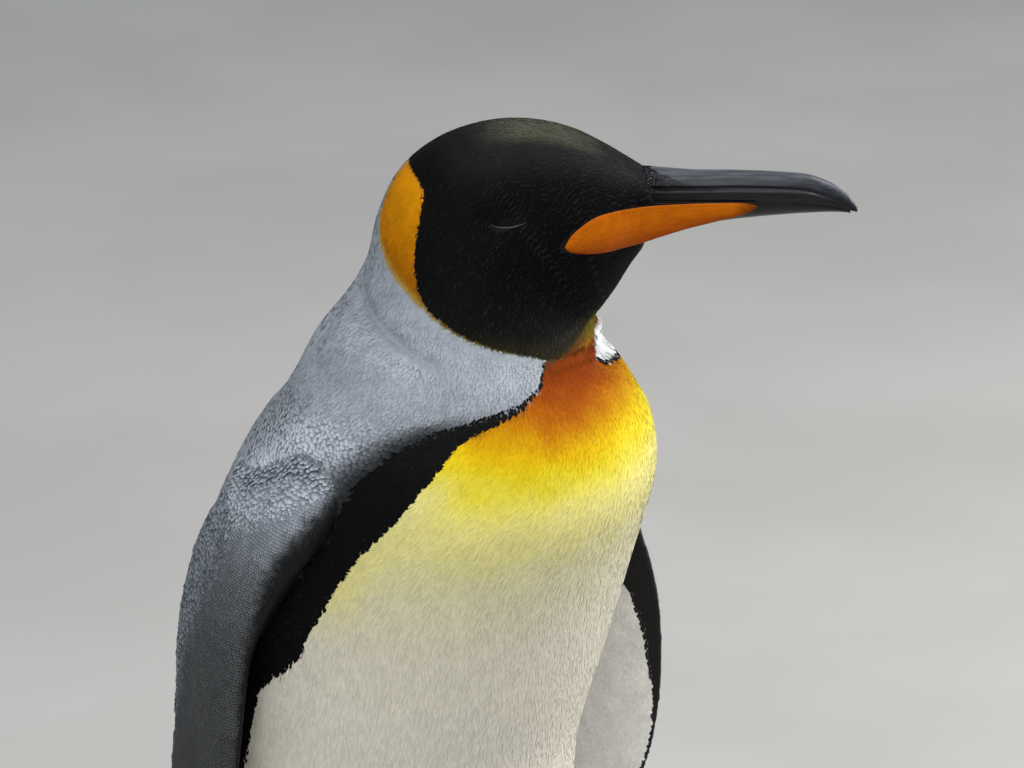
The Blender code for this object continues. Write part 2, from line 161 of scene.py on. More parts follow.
# ------------------------------------------------------------------ meshes
def new_object(name: str, points: Array, faces: list[Array]) -> bpy.types.Object:
    """An object at the origin, made from points and faces.

    Args:
        name: The piece's name.
        points: Places of the vertices.
        faces: Arrays of faces, each array holding faces of one number of corners.

    Returns:
        The new object, linked to the scene.
    """
    mesh = bpy.data.meshes.new(name)
    mesh.vertices.add(len(points))
    mesh.vertices.foreach_set("co", np.asarray(points, np.float32).ravel())
    corners = np.concatenate([f.ravel() for f in faces]).astype(np.int32)
    sizes = np.concatenate([np.full(len(f), f.shape[1]) for f in faces])
    mesh.loops.add(len(corners))
    mesh.loops.foreach_set("vertex_index", corners)
    mesh.polygons.add(len(sizes))
    starts = np.concatenate([[0], np.cumsum(sizes)[:-1]]).astype(np.int32)
    mesh.polygons.foreach_set("loop_start", starts)
    mesh.update(calc_edges=True)
    mesh.shade_smooth()
    made = bpy.data.objects.new(name, mesh)
    bpy.context.scene.collection.objects.link(made)
    return made


def tube_faces(rows: int, columns: int, first: int = 0) -> list[Array]:
    """Quads of a grid that closes round its columns, and fans to the two pole points after it."""
    i, j = np.meshgrid(np.arange(rows - 1), np.arange(columns), indexing="ij")
    k = (j + 1) % columns
    low, high = i * columns, (i + 1) * columns
    quads = np.stack([low + j, low + k, high + k, high + j], -1).reshape(-1, 4)
    j = np.arange(columns)
    k = (j + 1) % columns
    start, end = rows * columns, rows * columns + 1
    last = (rows - 1) * columns
    caps = np.concatenate([np.stack([k, j, np.full(columns, start)], -1),
                           np.stack([last + j, last + k, np.full(columns, end)], -1)])
    return [quads + first, caps + first]


def closed_tube(grid: Array) -> tuple[Array, list[Array]]:
    """Points and faces of a closed shell through a grid's rings, with a pole at each end."""
    rows, columns, _ = grid.shape
    poles = np.stack([grid[0].mean(0), grid[-1].mean(0)])
    return np.concatenate([grid.reshape(-1, 3), poles]), tube_faces(rows, columns)


def joined(parts: list[tuple[Array, list[Array]]]) -> tuple[Array, list[Array]]:
    """Several shells as one set of points and faces."""
    points, faces, first = [], [], 0
    for shell_points, shell_faces in parts:
        points.append(shell_points)
        faces += [f + first for f in shell_faces]
        first += len(shell_points)
    return np.concatenate(points), faces


def outward(obj: bpy.types.Object) -> bpy.types.Object:
    """Turns the faces of a closed piece outwards."""
    mesh = bmesh.new()
    mesh.from_mesh(obj.data)
    bmesh.ops.recalc_face_normals(mesh, faces=mesh.faces)
    mesh.to_mesh(obj.data)
    mesh.free()
    return obj


def settled(obj: bpy.types.Object) -> bpy.types.Object:
    """The object with its modifiers worked into its mesh."""
    graph = bpy.context.evaluated_depsgraph_get()
    mesh = bpy.data.meshes.new_from_object(obj.evaluated_get(graph))
    obj.modifiers.clear()
    old, obj.data = obj.data, mesh
    bpy.data.meshes.remove(old)
    return obj


def coordinates(mesh: bpy.types.Mesh) -> Array:
    """The places of a mesh's vertices."""
    flat = np.empty(len(mesh.vertices) * 3, np.float32)
    mesh.vertices.foreach_get("co", flat)
    return flat.reshape(-1, 3).astype(float)


def remeshed(obj: bpy.types.Object, voxel: float, rounds: int) -> bpy.types.Object:
    """One closed mesh round overlapping shells, with its joins rounded off."""
    fuse = obj.modifiers.new("fuse", "REMESH")
    fuse.mode = "VOXEL"
    fuse.voxel_size = voxel
    ease = obj.modifiers.new("ease", "SMOOTH")
    ease.factor = 0.5
    ease.iterations = rounds
    settled(obj).data.shade_smooth()
    return obj


def paint(obj: bpy.types.Object, colours: Array, most: float = 1.0) -> None:
    """Stores a colour at each vertex, none above most, for the materials to read as tint."""
    rgba = np.ones((len(colours), 4), np.float32)
    rgba[:, :3] = np.clip(colours, 0, most)
    made = obj.data.color_attributes.new("tint", "FLOAT_COLOR", "POINT")
    made.data.foreach_set("color", rgba.ravel())


# ------------------------------------------------------------------ the forms
@dataclass
class BodyForm:
    """Trunk, neck and head: one loft of planar oval rings.

    Rings are numbered from 0 under the belly to 25 at the base of the bill. Trunk rings are
    level. Neck and head rings fan about a hinge line in front of the throat. Angle 0 round a ring
    is the breast and throat, 90 degrees the left side and 180 degrees the back and crown.
    """

    trunk: tuple = (  # height, centre forward, half depth, half width
        (0.036, -0.052, 0.032, 0.046), (0.045, -0.053, 0.060, 0.072),
        (0.075, -0.051, 0.083, 0.092), (0.125, -0.043, 0.101, 0.106),
        (0.200, -0.031, 0.112, 0.113), (0.290, -0.0225, 0.1105, 0.1105),
        (0.380, -0.0145, 0.1015, 0.1020), (0.460, -0.0040, 0.0935, 0.0950),
        (0.520, 0.0075, 0.1005, 0.0990), (0.570, 0.0210, 0.1030, 0.1015),
        (0.610, 0.0372, 0.1003, 0.0985), (0.635, 0.0455, 0.0930, 0.0915),
        (0.652, 0.0490, 0.0830, 0.0820))
    head: tuple = (  # angle in degrees, inner radius, outer radius, half width
        (0.0, 0.010, 0.1425, 0.064), (9.0, 0.011, 0.1290, 0.055), (18.0, 0.012, 0.1235, 0.049),
        (28.0, 0.013, 0.1270, 0.044), (38.0, 0.0145, 0.1300, 0.040),
        (48.0, 0.016, 0.1275, 0.038), (58.0, 0.017, 0.1210, 0.0365),
        (67.0, 0.0185, 0.1130, 0.034), (76.0, 0.021, 0.1035, 0.030),
        (84.0, 0.0245, 0.0940, 0.0255), (91.0, 0.030, 0.0870, 0.0205),
        (97.0, 0.037, 0.0825, 0.0160), (102.0, 0.043, 0.0805, 0.0130))
    neck_forward: float = 0.045
    hinge_height: float = 0.677
    hinge_reach: float = 0.076
    depth_table: tuple = ((0, 0.0022), (10, 0.0022), (12.5, 0.0017), (15, 0.0012), (25, 0.0008))
    swells: tuple = (  # on both sides: ring, angle, reach along the rings, spread round them, height
        (18.4, 124, 1.1, 10, 0.0011), (18.3, 108, 0.75, 8, -0.0012), (17.3, 92, 1.4, 16, 0.0016),
        (20.6, 96, 1.3, 14, 0.0006))
    lobes: tuple = (  # on one side: ring, angle, reach along the rings, spread round them, height
        (13.05, 24, 0.42, 13, 0.0078), (13.1, -2, 0.6, 12, -0.0030), (12.68, 8, 0.16, 20, -0.0040),
        (12.35, 4, 0.20, 24, 0.0016), (13.05, -62, 0.42, 11, 0.0016), (13.05, -44, 0.42, 7, -0.0018))
    crease: tuple = (  # angle on the right side, ring of the fold at the root of the turned neck
        (92, 13.0), (100, 13.2), (115, 13.5), (131, 13.8), (150, 14.1), (166, 14.35))
    stations: Array = field(init=False)

    def __post_init__(self) -> None:
        """Works out every ring as centre, tilt, turn, half depth and half width."""
        rows = []
        for height, forward, depth, width in self.trunk:
            rise = max(0.0, (height - 0.57) / (self.hinge_height - 0.57))
            rows.append((0.0, -forward, height, 0.0, HEAD_TURN * rise ** 1.5, depth, width))
        for angle, inner, outer, width in self.head:
            tilt, reach = math.radians(angle), (inner + outer) / 2
            at = self.in_head(np.array(-math.cos(tilt) * reach), np.array(math.sin(tilt) * reach))
            rows.append((*(at - ORIGIN), tilt, HEAD_TURN, (outer - inner) / 2, width))
        self.stations = np.array(rows)

    @property
    def rings(self) -> int:
        """The number of the last ring."""
        return len(self.stations) - 1

    def hinge(self) -> Array:
        """A point on the hinge line, in the middle plane of the head."""
        return (ORIGIN + np.array([0.0, -self.neck_forward, self.hinge_height])
                + AHEAD * self.hinge_reach)

    def in_head(self, forward: Array, up: Array, out: Array | float = 0.0) -> Array:
        """Points given in the head's own plane: forward and up from the hinge, out to the left."""
        forward, up, out = (np.asarray(k, float)[..., None] for k in (forward, up, out))
        return self.hinge() + AHEAD * forward + LEFT * out + UP * up

    def from_head(self, points: Array) -> tuple[Array, Array, Array]:
        """Forward, up and left of points in the head's own plane; in_head the other way round."""
        away = points - self.hinge()
        return away @ AHEAD, away[..., 2], away @ LEFT

    def relief(self, ring: Array, angle: Array) -> Array:
        """How far the skin stands out of its plain oval, in metres.

        A sum of soft round swells and hollows, each given by ring number, angle and reach: the
        brow over the eye, the eye's hollow, the cheek, the fold that the turned head makes at the
        root of the neck, and the ends of the two shoulder lobes.
        """
        degrees = signed_degrees(angle)
        total = np.zeros(np.broadcast(ring, angle).shape)
        for at_ring, at_angle, reach, spread, height in self.swells:
            away = ((ring - at_ring) / reach) ** 2 + ((np.abs(degrees) - at_angle) / spread) ** 2
            total += height * np.exp(-away)
        fold = line(self.crease, -degrees)
        there = smooth(88, 104, -degrees) * smooth(178, 160, -degrees)
        total -= 0.0032 * there * np.exp(-((ring - fold) / 0.28) ** 2)
        total += 0.0014 * there * np.exp(-((ring - fold + 0.70) / 0.40) ** 2)
        for at_ring, at_angle, reach, spread, height in self.lobes:
            total += (height * np.exp(-((ring - at_ring) / reach) ** 2)
                      * np.exp(-((degrees - at_angle) / spread) ** 2))
        return total

    def frames(self, ring: Array) -> tuple[Array, ...]:
        """Each ring's centre, forward axis, left axis, tilt, half depth and half width."""
        x, y, z, tilt, turn, depth, width = np.moveaxis(spline(self.stations, ring), -1, 0)
        flat = np.zeros_like(turn)
        ahead = np.stack([np.sin(turn), -np.cos(turn), flat], -1)
        left = np.stack([np.cos(turn), np.sin(turn), flat], -1)
        front = ahead * np.cos(tilt)[..., None] - UP * np.sin(tilt)[..., None]
        return ORIGIN + np.stack([x, y, z], -1), front, left, tilt, depth, width

    def surface(self, ring: Array, angle: Array, above: float = 0.0) -> Array:
        """Points of the skin.

        Each ring's centre, forward axis and left axis come from the smooth table of stations. A
        point is the centre, plus the forward axis times half depth times the cosine of the angle,
        plus the left axis times half width times the sine, narrowed towards the chin on the head.

        Args:
            ring: Ring numbers, whole or between rings.
            angle: Angles round the ring in radians.
            above: Height above the skin in metres.

        Returns:
            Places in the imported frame.
        """
        centre, front, left, tilt, depth, width = self.frames(ring)
        taper = 1 - 0.16 * np.sin(np.clip(tilt, 0, math.pi / 2)) * np.cos(angle)
        grow = self.relief(ring, angle) + above - line(self.depth_table, ring)
        out_front = (depth + grow) * np.cos(angle)
        out_left = (width + grow) * np.sin(angle) * taper
        return centre + front * out_front[..., None] + left * out_left[..., None]

    def locate(self, points: Array) -> tuple[Array, Array]:
        """Ring number and angle of places on or near the body, the reverse of surface."""
        forward, up, _ = self.from_head(points)
        tilt = np.degrees(np.arctan2(up, np.maximum(-forward, -0.2)))
        heights = [row[0] for row in self.trunk]
        low = np.interp(points[:, 2], heights + [self.hinge_height], np.arange(len(heights) + 1))
        angles = [row[0] for row in self.head]
        high = np.interp(tilt, angles, len(heights) + np.arange(len(angles)))
        ring = np.where(points[:, 2] < self.hinge_height, low, high)
        centre, front, left, _, depth, width = self.frames(ring)
        away = points - centre
        return ring, np.arctan2((away * left).sum(1) / width, (away * front).sum(1) / depth)


@dataclass
class FlipperForm:
    """One flipper: an aerofoil section carried down a curved axis."""

    side: int
    path: tuple  # share of the length, out from the middle, forward, up
    toe_out: float
    sections: tuple = (  # share, chord, thickness, leading edge ahead of the axis
        (0.00, 0.062, 0.044, 0.036), (0.05, 0.078, 0.042, 0.045), (0.12, 0.086, 0.034, 0.048),
        (0.20, 0.079, 0.025, 0.042), (0.30, 0.070, 0.0165, 0.034), (0.42, 0.066, 0.0125, 0.031),
        (0.58, 0.061, 0.0100, 0.026), (0.74, 0.052, 0.0082, 0.018), (0.87, 0.040, 0.0064, 0.008),
        (0.95, 0.027, 0.0050, -0.001), (1.00, 0.011, 0.0034, -0.009))

    def section(self, share: Array) -> tuple[Array, Array, Array, Array]:
        """The axis' place, the chord, the thickness and the leading edge's lead on the axis."""
        chord, thick, lead = np.moveaxis(profile(self.sections, share), -1, 0)
        out, forward, up = np.moveaxis(profile(self.path, share), -1, 0)
        return np.stack([self.side * out, -forward, up], -1), chord, thick, lead

    def ways(self) -> tuple[Array, Array]:
        """The directions along the chord to the leading edge, and out of the outer face."""
        sine, cosine = math.sin(self.toe_out), math.cos(self.toe_out)
        return np.array([self.side * sine, -cosine, 0]), np.array([self.side * cosine, sine, 0])

    def surface(self, share: Array, angle: Array, above: float = 0.0) -> Array:
        """Points of the flipper's skin.

        The axis comes from the path table. Angle 0 is the leading edge, 90 degrees the outer face
        and 180 degrees the trailing edge. Across the section a point lies back from the leading
        edge by half the chord times one less the cosine, and out of the chord by the sine times a
        fullness that is greatest near the leading edge.
        """
        axis, chord, thick, lead = self.section(share)
        chord_way, face_way = self.ways()
        sink = above - 0.0006
        back = lead + sink - (chord + 2 * sink) * (1 - np.cos(angle)) / 2
        full = np.sin(angle) * (0.62 + 0.38 * np.cos(angle)) * (thick * 0.625 + sink)
        return ORIGIN + axis + chord_way * back[..., None] + face_way * full[..., None]

    def locate(self, points: Array) -> tuple[Array, Array, Array]:
        """Share and angle of places on or near the flipper, and how far they lie off its skin.

        The share is read from the height, and the cosine of the angle from the place along the
        chord. A place past the flipper's edges or below its tip is given as a metre off.
        """
        heights = [row[3] for row in self.path][::-1]
        share = np.interp(points[:, 2], heights, [row[0] for row in self.path][::-1])
        axis, chord, thick, lead = self.section(share)
        away = points - ORIGIN - axis
        ahead, off = (away @ way for way in self.ways())
        cosine = np.clip(1 - 2 * (lead - ahead) / chord, -1, 1)
        inside = (ahead < lead + 0.004) & (ahead > lead - chord - 0.004)
        inside &= points[:, 2] > heights[0] - 0.003
        return share, np.arccos(cosine) * np.where(off < 0, -1, 1), np.where(
            inside, np.abs(off) - thick * 0.6, 1.0)


@dataclass
class TailForm:
    """The tail's stump: a flattened wedge that runs down and back to the floor."""

    sections: tuple = ((0.0, 0.050, 0.034), (0.30, 0.047, 0.026), (0.55, 0.038, 0.015),
                       (0.80, 0.024, 0.0070), (0.94, 0.013, 0.0038), (1.0, 0.007, 0.0026))
    root: tuple = (0.098, 0.150)
    tip: tuple = (0.186, 0.0022)

    def axis(self) -> tuple[Array, Array, Array]:
        """The root, the run to the tip and the direction out of the tail's upper face."""
        root = np.array([0.0, self.root[0], self.root[1]])
        run = np.array([0.0, self.tip[0] - self.root[0], self.tip[1] - self.root[1]])
        along = run / np.linalg.norm(run)
        return root, run, np.array([0.0, -along[2], along[1]])

    def surface(self, share: Array, angle: Array, above: float = 0.0) -> Array:
        """Points of the stump: its axis, plus its width times the cosine and its thickness times
        the sine of the angle. It is shorter and thinner than the feathers that cover it."""
        width, thick = np.moveaxis(profile(self.sections, share * 0.62), -1, 0)
        root, run, face = self.axis()
        close = np.sqrt(np.clip(1 - np.asarray(share) ** 6, 0, 1))
        width = (width - 0.003 + above) * close
        thick = (thick * 0.86 - 0.001 + above) * close
        at = root + run * (np.asarray(share) * 0.62)[..., None]
        across = np.array([1.0, 0, 0]) * (width * np.cos(angle))[..., None]
        return ORIGIN + at + across + face * (thick * np.sin(angle))[..., None]


@dataclass
class LegForm:
    """One feathered leg, from inside the belly down to the ankle."""

    side: int
    sections: tuple = ((0.026, 0.0310, 0.0290), (0.040, 0.043, 0.039), (0.060, 0.051, 0.046),
                       (0.085, 0.056, 0.050), (0.120, 0.058, 0.052))  # height, half depth, width
    out: float = 0.052
    back: float = 0.044
    top: float = 0.120
    ankle: float = 0.027
    sunk: float = 0.0022  # how far the skin lies under the feathers' outline

    def surface(self, share: Array, angle: Array, above: float = 0.0) -> Array:
        """Points of the leg's skin: level ovals, with share 0 at the top and 1 at the ankle."""
        height = self.top - (self.top - self.ankle) * np.asarray(share)
        depth, width = np.moveaxis(profile(self.sections, height), -1, 0)
        sink = above - self.sunk
        x = self.side * self.out + (width + sink) * np.cos(angle)
        y = self.back + (depth + sink) * np.sin(angle)
        return ORIGIN + np.stack([x, y, height + 0 * x], -1)


@dataclass
class FootForm:
    """One webbed foot: three padded toes, the web between them and the shank above the heel."""

    side: int
    out: float = 0.056
    heel_forward: float = -0.040
    turn: float = math.radians(14)
    toes: tuple = (  # name, fan angle, length, radius at the root, at the tip
        ("inner", -21, 0.070, 0.0100, 0.0074), ("middle", 2, 0.088, 0.0115, 0.0082),
        ("outer", 24, 0.080, 0.0105, 0.0076))
    flatten: float = 0.78
    sink: float = 0.35
    web_thick: float = 0.0036
    web_scoop: float = 0.985
    shank: tuple = ((-0.001, 0.0175, 0.002), (0.008, 0.0196, 0.002), (0.018, 0.0188, 0.000),
                    (0.030, 0.0186, -0.001), (0.050, 0.0180, -0.002))
    claw_length: float = 0.024

    def placed(self, points: Array) -> Array:
        """Turns points made round a heel at the origin to where this foot stands."""
        turn = self.side * self.turn
        c, s = math.cos(turn), math.sin(turn)
        x, y, z = np.moveaxis(points, -1, 0)
        moved = np.stack([c * x - s * y + self.side * self.out, s * x + c * y - self.heel_forward,
                          np.maximum(z, 0.0)], -1)
        return ORIGIN + moved

    def toe_line(self, angle: float, length: float, share: Array) -> Array:
        """The toe's middle line on the ground: it leaves the heel and curves out to its own
        fan angle, at 12 mm plus its length times the share from the heel."""
        turn = np.radians(angle * self.side) * (0.35 + 0.65 * np.asarray(share))
        reach = 0.012 + length * np.asarray(share)
        return np.stack([np.sin(turn) * reach, -np.cos(turn) * reach, 0 * reach], -1)

    def toe(self, angle: float, length: float, root: float, tip: float) -> Array:
        """Rings of one toe: flattened ovals along its line, with soft swells at the pads."""
        share = np.linspace(0, 1, 40)[:, None]
        a = np.linspace(0, math.tau, 28, endpoint=False)[None, :]
        pads = 1 + 0.07 * np.cos(share * 3 * math.tau) + 0.02 * np.cos(share * 7 * math.tau + 1)
        end = np.sqrt(np.clip(1 - np.maximum(0, (share - 0.93) / 0.08) ** 2, 0.02, 1))
        radius = (root + (tip - root) * share) * pads * end
        half = radius * self.flatten
        at = self.toe_line(angle, length, share[:, 0])
        along = unit(np.gradient(at, axis=0))
        across = np.stack([-along[:, 1], along[:, 0], 0 * along[:, 0]], -1)
        rise = half * (1 - self.sink) + half * np.sin(a)
        return (at[:, None] + across[:, None] * (radius * np.cos(a))[..., None]
                + UP * rise[..., None])

    def web(self) -> Array:
        """Rings of the web: shrinking copies of its outline, stacked up and down its edge.

        The outline runs out along each toe and is scooped in between the toes' ends.
        """
        ends = [self.toe_line(a, length, np.array(0.96)) for _, a, length, _, _ in self.toes]
        outline = [np.array([0.0, 0.006, 0.0])]
        for n, end in enumerate(ends):
            outline.append(end)
            if n + 1 < len(ends):
                scoop = (end + ends[n + 1]) / 2 * self.web_scoop
                outline += [(end + scoop) / 2 * 0.985, scoop * 0.99, (scoop + ends[n + 1]) / 2 * 0.985]
        corners = np.array(outline + [outline[0]])
        run = np.concatenate([[0], np.cumsum(np.linalg.norm(np.diff(corners, axis=0), axis=1))])
        at = np.linspace(0, run[-1], 160, endpoint=False)
        edge = np.stack([np.interp(at, run, corners[:, k]) for k in range(3)], -1)
        centre = np.array([0, -0.04, 0])
        steps = ((0.0, 0.05), (0.0, 0.5), (0.0, 0.97), (0.25, 1.0), (0.6, 1.004), (0.9, 0.995),
                 (1.0, 0.96), (1.0, 0.5), (1.0, 0.05))
        return np.stack([centre + (edge - centre) * grow
                         + np.array([0, 0, self.web_thick * 1.3 * up]) for up, grow in steps])

    def ankle(self) -> Array:
        """Rings of the shank, from the sole up into the leg's feathers."""
        z = np.linspace(self.shank[0][0], self.shank[-1][0], 24)
        radius, back = np.moveaxis(profile(self.shank, z), -1, 0)
        a = np.linspace(0, math.tau, 40, endpoint=False)
        return np.stack([radius[:, None] * np.cos(a), radius[:, None] * np.sin(a) + back[:, None],
                         z[:, None] + 0 * a], -1)

    def shells(self) -> list[tuple[Array, list[Array]]]:
        """The foot's overlapping closed shells, where the foot stands."""
        grids = [self.toe(*row[1:]) for row in self.toes] + [self.web(), self.ankle()]
        return [closed_tube(self.placed(grid)) for grid in grids]

    def claw(self, row: tuple) -> tuple[Array, list[Array]]:
        """A claw that runs on from its toe, thins by the share to the power 1.5, bends down to
        the floor, and carries a low ridge along its back."""
        _, angle, length, _, tip = row
        start = self.toe_line(angle, length, np.array(0.95))
        ahead = unit(start - self.toe_line(angle, length, np.array(0.9)))
        across = np.array([-ahead[1], ahead[0], 0])
        share = np.linspace(-0.12, 1, 26)[:, None]
        a = np.linspace(0, math.tau, 20, endpoint=False)[None, :]
        over = np.clip(share, 0, 1)
        thick = tip * 0.62 * (1 - 0.90 * over ** 1.5) * (1 + 0.07 * np.cos(2 * (a - math.pi / 2)))
        rise = tip * 0.72 * (1 - over ** 2 * 0.82)
        at = start + ahead * (self.claw_length * share)[..., None]
        rings = (at + across * (thick * 0.8 * np.cos(a))[..., None]
                 + UP * np.maximum(0.0002, rise + thick * np.sin(a))[..., None])
        return closed_tube(self.placed(rings))


@dataclass
class BillForm:
    """The bill and its coloured plates, drawn in the head's own plane."""

    head: BodyForm
    chart: Chart
    culmen: tuple = ((0.006, 0.0818), (0.014, 0.0815), (0.032, 0.0803), (0.052, 0.0802),
                     (0.072, 0.0794), (0.085, 0.0780), (0.095, 0.0740), (0.1025, 0.0685),
                     (0.1065, 0.0635), (0.1075, 0.0606))
    gape: tuple = ((-0.027, 0.0550), (-0.018, 0.0650), (-0.003, 0.0680), (0.015, 0.0682),
                   (0.032, 0.0680), (0.052, 0.0676), (0.072, 0.0668), (0.085, 0.0656),
                   (0.097, 0.0634), (0.1068, 0.0605))
    keel: tuple = ((0.004, 0.0460), (0.014, 0.0485), (0.026, 0.0520), (0.038, 0.0550),
                   (0.052, 0.0573), (0.072, 0.0592), (0.085, 0.0601), (0.096, 0.0605),
                   (0.1045, 0.0600))
    half_width: tuple = ((0.004, 0.0135), (0.012, 0.0122), (0.030, 0.0098), (0.050, 0.0080),
                         (0.070, 0.0065), (0.085, 0.0053), (0.097, 0.0038), (0.1045, 0.0022),
                         (0.1080, 0.0012))
    plate: tuple = (  # forward, lower edge, upper edge, out from the middle
        (-0.0265, 0.0525, 0.0560, 0.0310), (-0.0220, 0.0508, 0.0612, 0.0300),
        (-0.0130, 0.0492, 0.0666, 0.0262), (-0.0030, 0.0490, 0.0679, 0.0215),
        (0.0080, 0.0502, 0.0681, 0.0163), (0.0180, 0.0525, 0.0679, 0.0129),
        (0.0300, 0.0556, 0.0677, 0.0106), (0.0420, 0.0583, 0.0675, 0.0091),
        (0.0540, 0.0612, 0.0672, 0.0081), (0.0610, 0.0642, 0.0664, 0.0075))
    start: float = 0.0095
    upper_tip: float = 0.1067
    lower_tip: float = 0.1035
    lean: float = 0.2126  # how far the first ring leans back for each metre above the middle
    upright: float = 0.050  # where the rings stand upright
    middle: float = 0.0806
    power: float = 0.85  # how full the rings are

    def high(self, angle: Array) -> Array:
        """How high each angle stands in its ring, from 0 at the closed edge to 1 at the crest."""
        return np.clip(np.sin(angle), 0, 1) ** self.power

    def leaning(self, forward: Array, up: Array, out: Array) -> Array:
        """Points of the rings, which lean back at the root and stand upright further on."""
        upright = np.minimum(1.0, (forward - self.start) / (self.upright - self.start))
        return self.head.in_head(forward + self.lean * (1 - upright) * (up - self.middle), up, out)

    def plate_edges(self, forward: Array) -> tuple[Array, Array]:
        """Heights of a plate's lower and upper edges."""
        rows = np.asarray(self.plate)
        return np.interp(forward, rows[:, 0], rows[:, 1]), np.interp(forward, rows[:, 0], rows[:, 2])

    def read(self, rows: tuple, forward: Array) -> Array:
        """A table's second column, smoothly, at places forward."""
        return profile(rows, forward)[..., 0]

    def upper(self, share: Array, angle: Array) -> Array:
        """Points of the upper half, by the share of its length and the angle round it.

        Each ring is half an oval standing on the closed edge: out is the half width times the
        cosine of the angle, up is the height times the sine to the power 0.85. A sharp groove
        runs along each side just under half way up, with a low ridge below it, and the edge of
        the gape rolls in. Below the edge the ring is flat.
        """
        forward = self.start + (self.upper_tip - self.start) * share
        edge = self.read(self.gape, forward) + 0.00015
        top = np.maximum(self.read(self.culmen, forward), edge + 0.0016)
        sine = np.clip(np.sin(angle), 0, 1)
        high = self.high(angle)
        reach = smooth(0.0, 0.008, forward - self.start) * smooth(0.0995, 0.086, forward)
        level = 0.47 - 0.10 * smooth(0.080, 0.100, forward)
        groove = 0.17 * np.exp(-((high - level) / 0.055) ** 2)
        ridge = 0.045 * np.exp(-((high - level + 0.13) / 0.06) ** 2)
        shelf = 0.05 * smooth(level - 0.02, level + 0.08, high) * (1 - high)
        lip = 0.05 * np.exp(-(high / 0.12) ** 2)
        width = self.read(self.half_width, forward)
        out = width * np.cos(angle) * (1 - 0.12 * sine - (groove - ridge - shelf) * reach - lip)
        return self.leaning(forward, edge + (top - edge) * high, out)

    def lower(self, share: Array, angle: Array) -> Array:
        """Points of the lower half: half ovals that hang from the closed edge of the bill."""
        forward = self.start + (self.lower_tip - self.start) * share
        edge = self.read(self.gape, forward) - 0.00015
        keel = np.minimum(self.read(self.keel, forward), edge - 0.0016)
        sine = np.clip(np.sin(angle), 0, 1)
        lip = np.exp(-(sine / 0.14) ** 2) * 0.06
        out = self.read(self.half_width, forward) * 0.93 * np.cos(angle) * (1 - 0.12 * sine - lip)
        return self.leaning(forward, edge - (edge - keel) * self.high(angle), out)

    def bare(self, points: Array) -> Array:
        """Whether places lie on either plate."""
        forward, up, _ = self.head.from_head(points)
        low, high = self.plate_edges(forward)
        return ((forward > self.plate[0][0] - 0.0004) & (up > low - 0.0002) & (up < high + 0.0001)
                & (up < 0.075))

    def skin_reach(self, side: int, forward: Array, up: Array) -> Array:
        """How far out the head's skin stands on one side, read from a 1 mm grid of its points."""
        there = self.head.from_head(self.chart.points[self.chart.u > 13].reshape(-1, 3))
        out = side * there[2]
        cells = np.stack([(there[0] + 0.04) / 0.001, (there[1] - 0.03) / 0.001], -1)
        inside = ((cells >= 0) & (cells < 60)).all(-1) & (out > 0)
        grid = np.zeros((60, 60))
        at = cells[inside].astype(int)
        np.maximum.at(grid, (at[:, 0], at[:, 1]), out[inside])
        x = np.clip((forward + 0.04) / 0.001 - 0.5, 0, 58.99)
        y = np.clip((up - 0.03) / 0.001 - 0.5, 0, 58.99)
        i, j = x.astype(int), y.astype(int)
        a, b = x - i, y - j
        return ((grid[i, j] * (1 - a) + grid[i + 1, j] * a) * (1 - b)
                + (grid[i, j + 1] * (1 - a) + grid[i + 1, j + 1] * a) * b)

    def plate_rings(self, side: int) -> Array:
        """Rings of one plate.

        Each ring is an upright lens: up is the middle plus half the height times the cosine of
        the angle, out is the table's reach, or the skin's own where that is more, plus the
        thickness times the sine. Both ends close in a half circle, and the upper edge is thin.
        """
        where = np.linspace(0, 1, 80)
        forward, low, high, out = np.moveaxis(spline(self.plate, where * (len(self.plate) - 1)), -1, 0)
        close = np.sqrt(np.clip(1 - (2 * where - 1) ** 14, 0.004, 1))
        a = np.linspace(0, math.tau, 40, endpoint=False)[None, :]
        half = ((high - low) / 2 * close)[:, None]
        up = ((high + low) / 2)[:, None] + half * np.cos(a)
        thick = (0.0012 * close ** 0.5)[:, None] * (1 - 0.25 * np.cos(a))
        ahead = forward[:, None] + 0 * a
        skin = self.skin_reach(side, ahead, up) * smooth(0.014, 0.006, ahead)
        base = np.maximum(out[:, None] + 0.12 * half * np.cos(a), skin)
        return self.head.in_head(ahead, up, side * (base + thick * np.sin(a)))


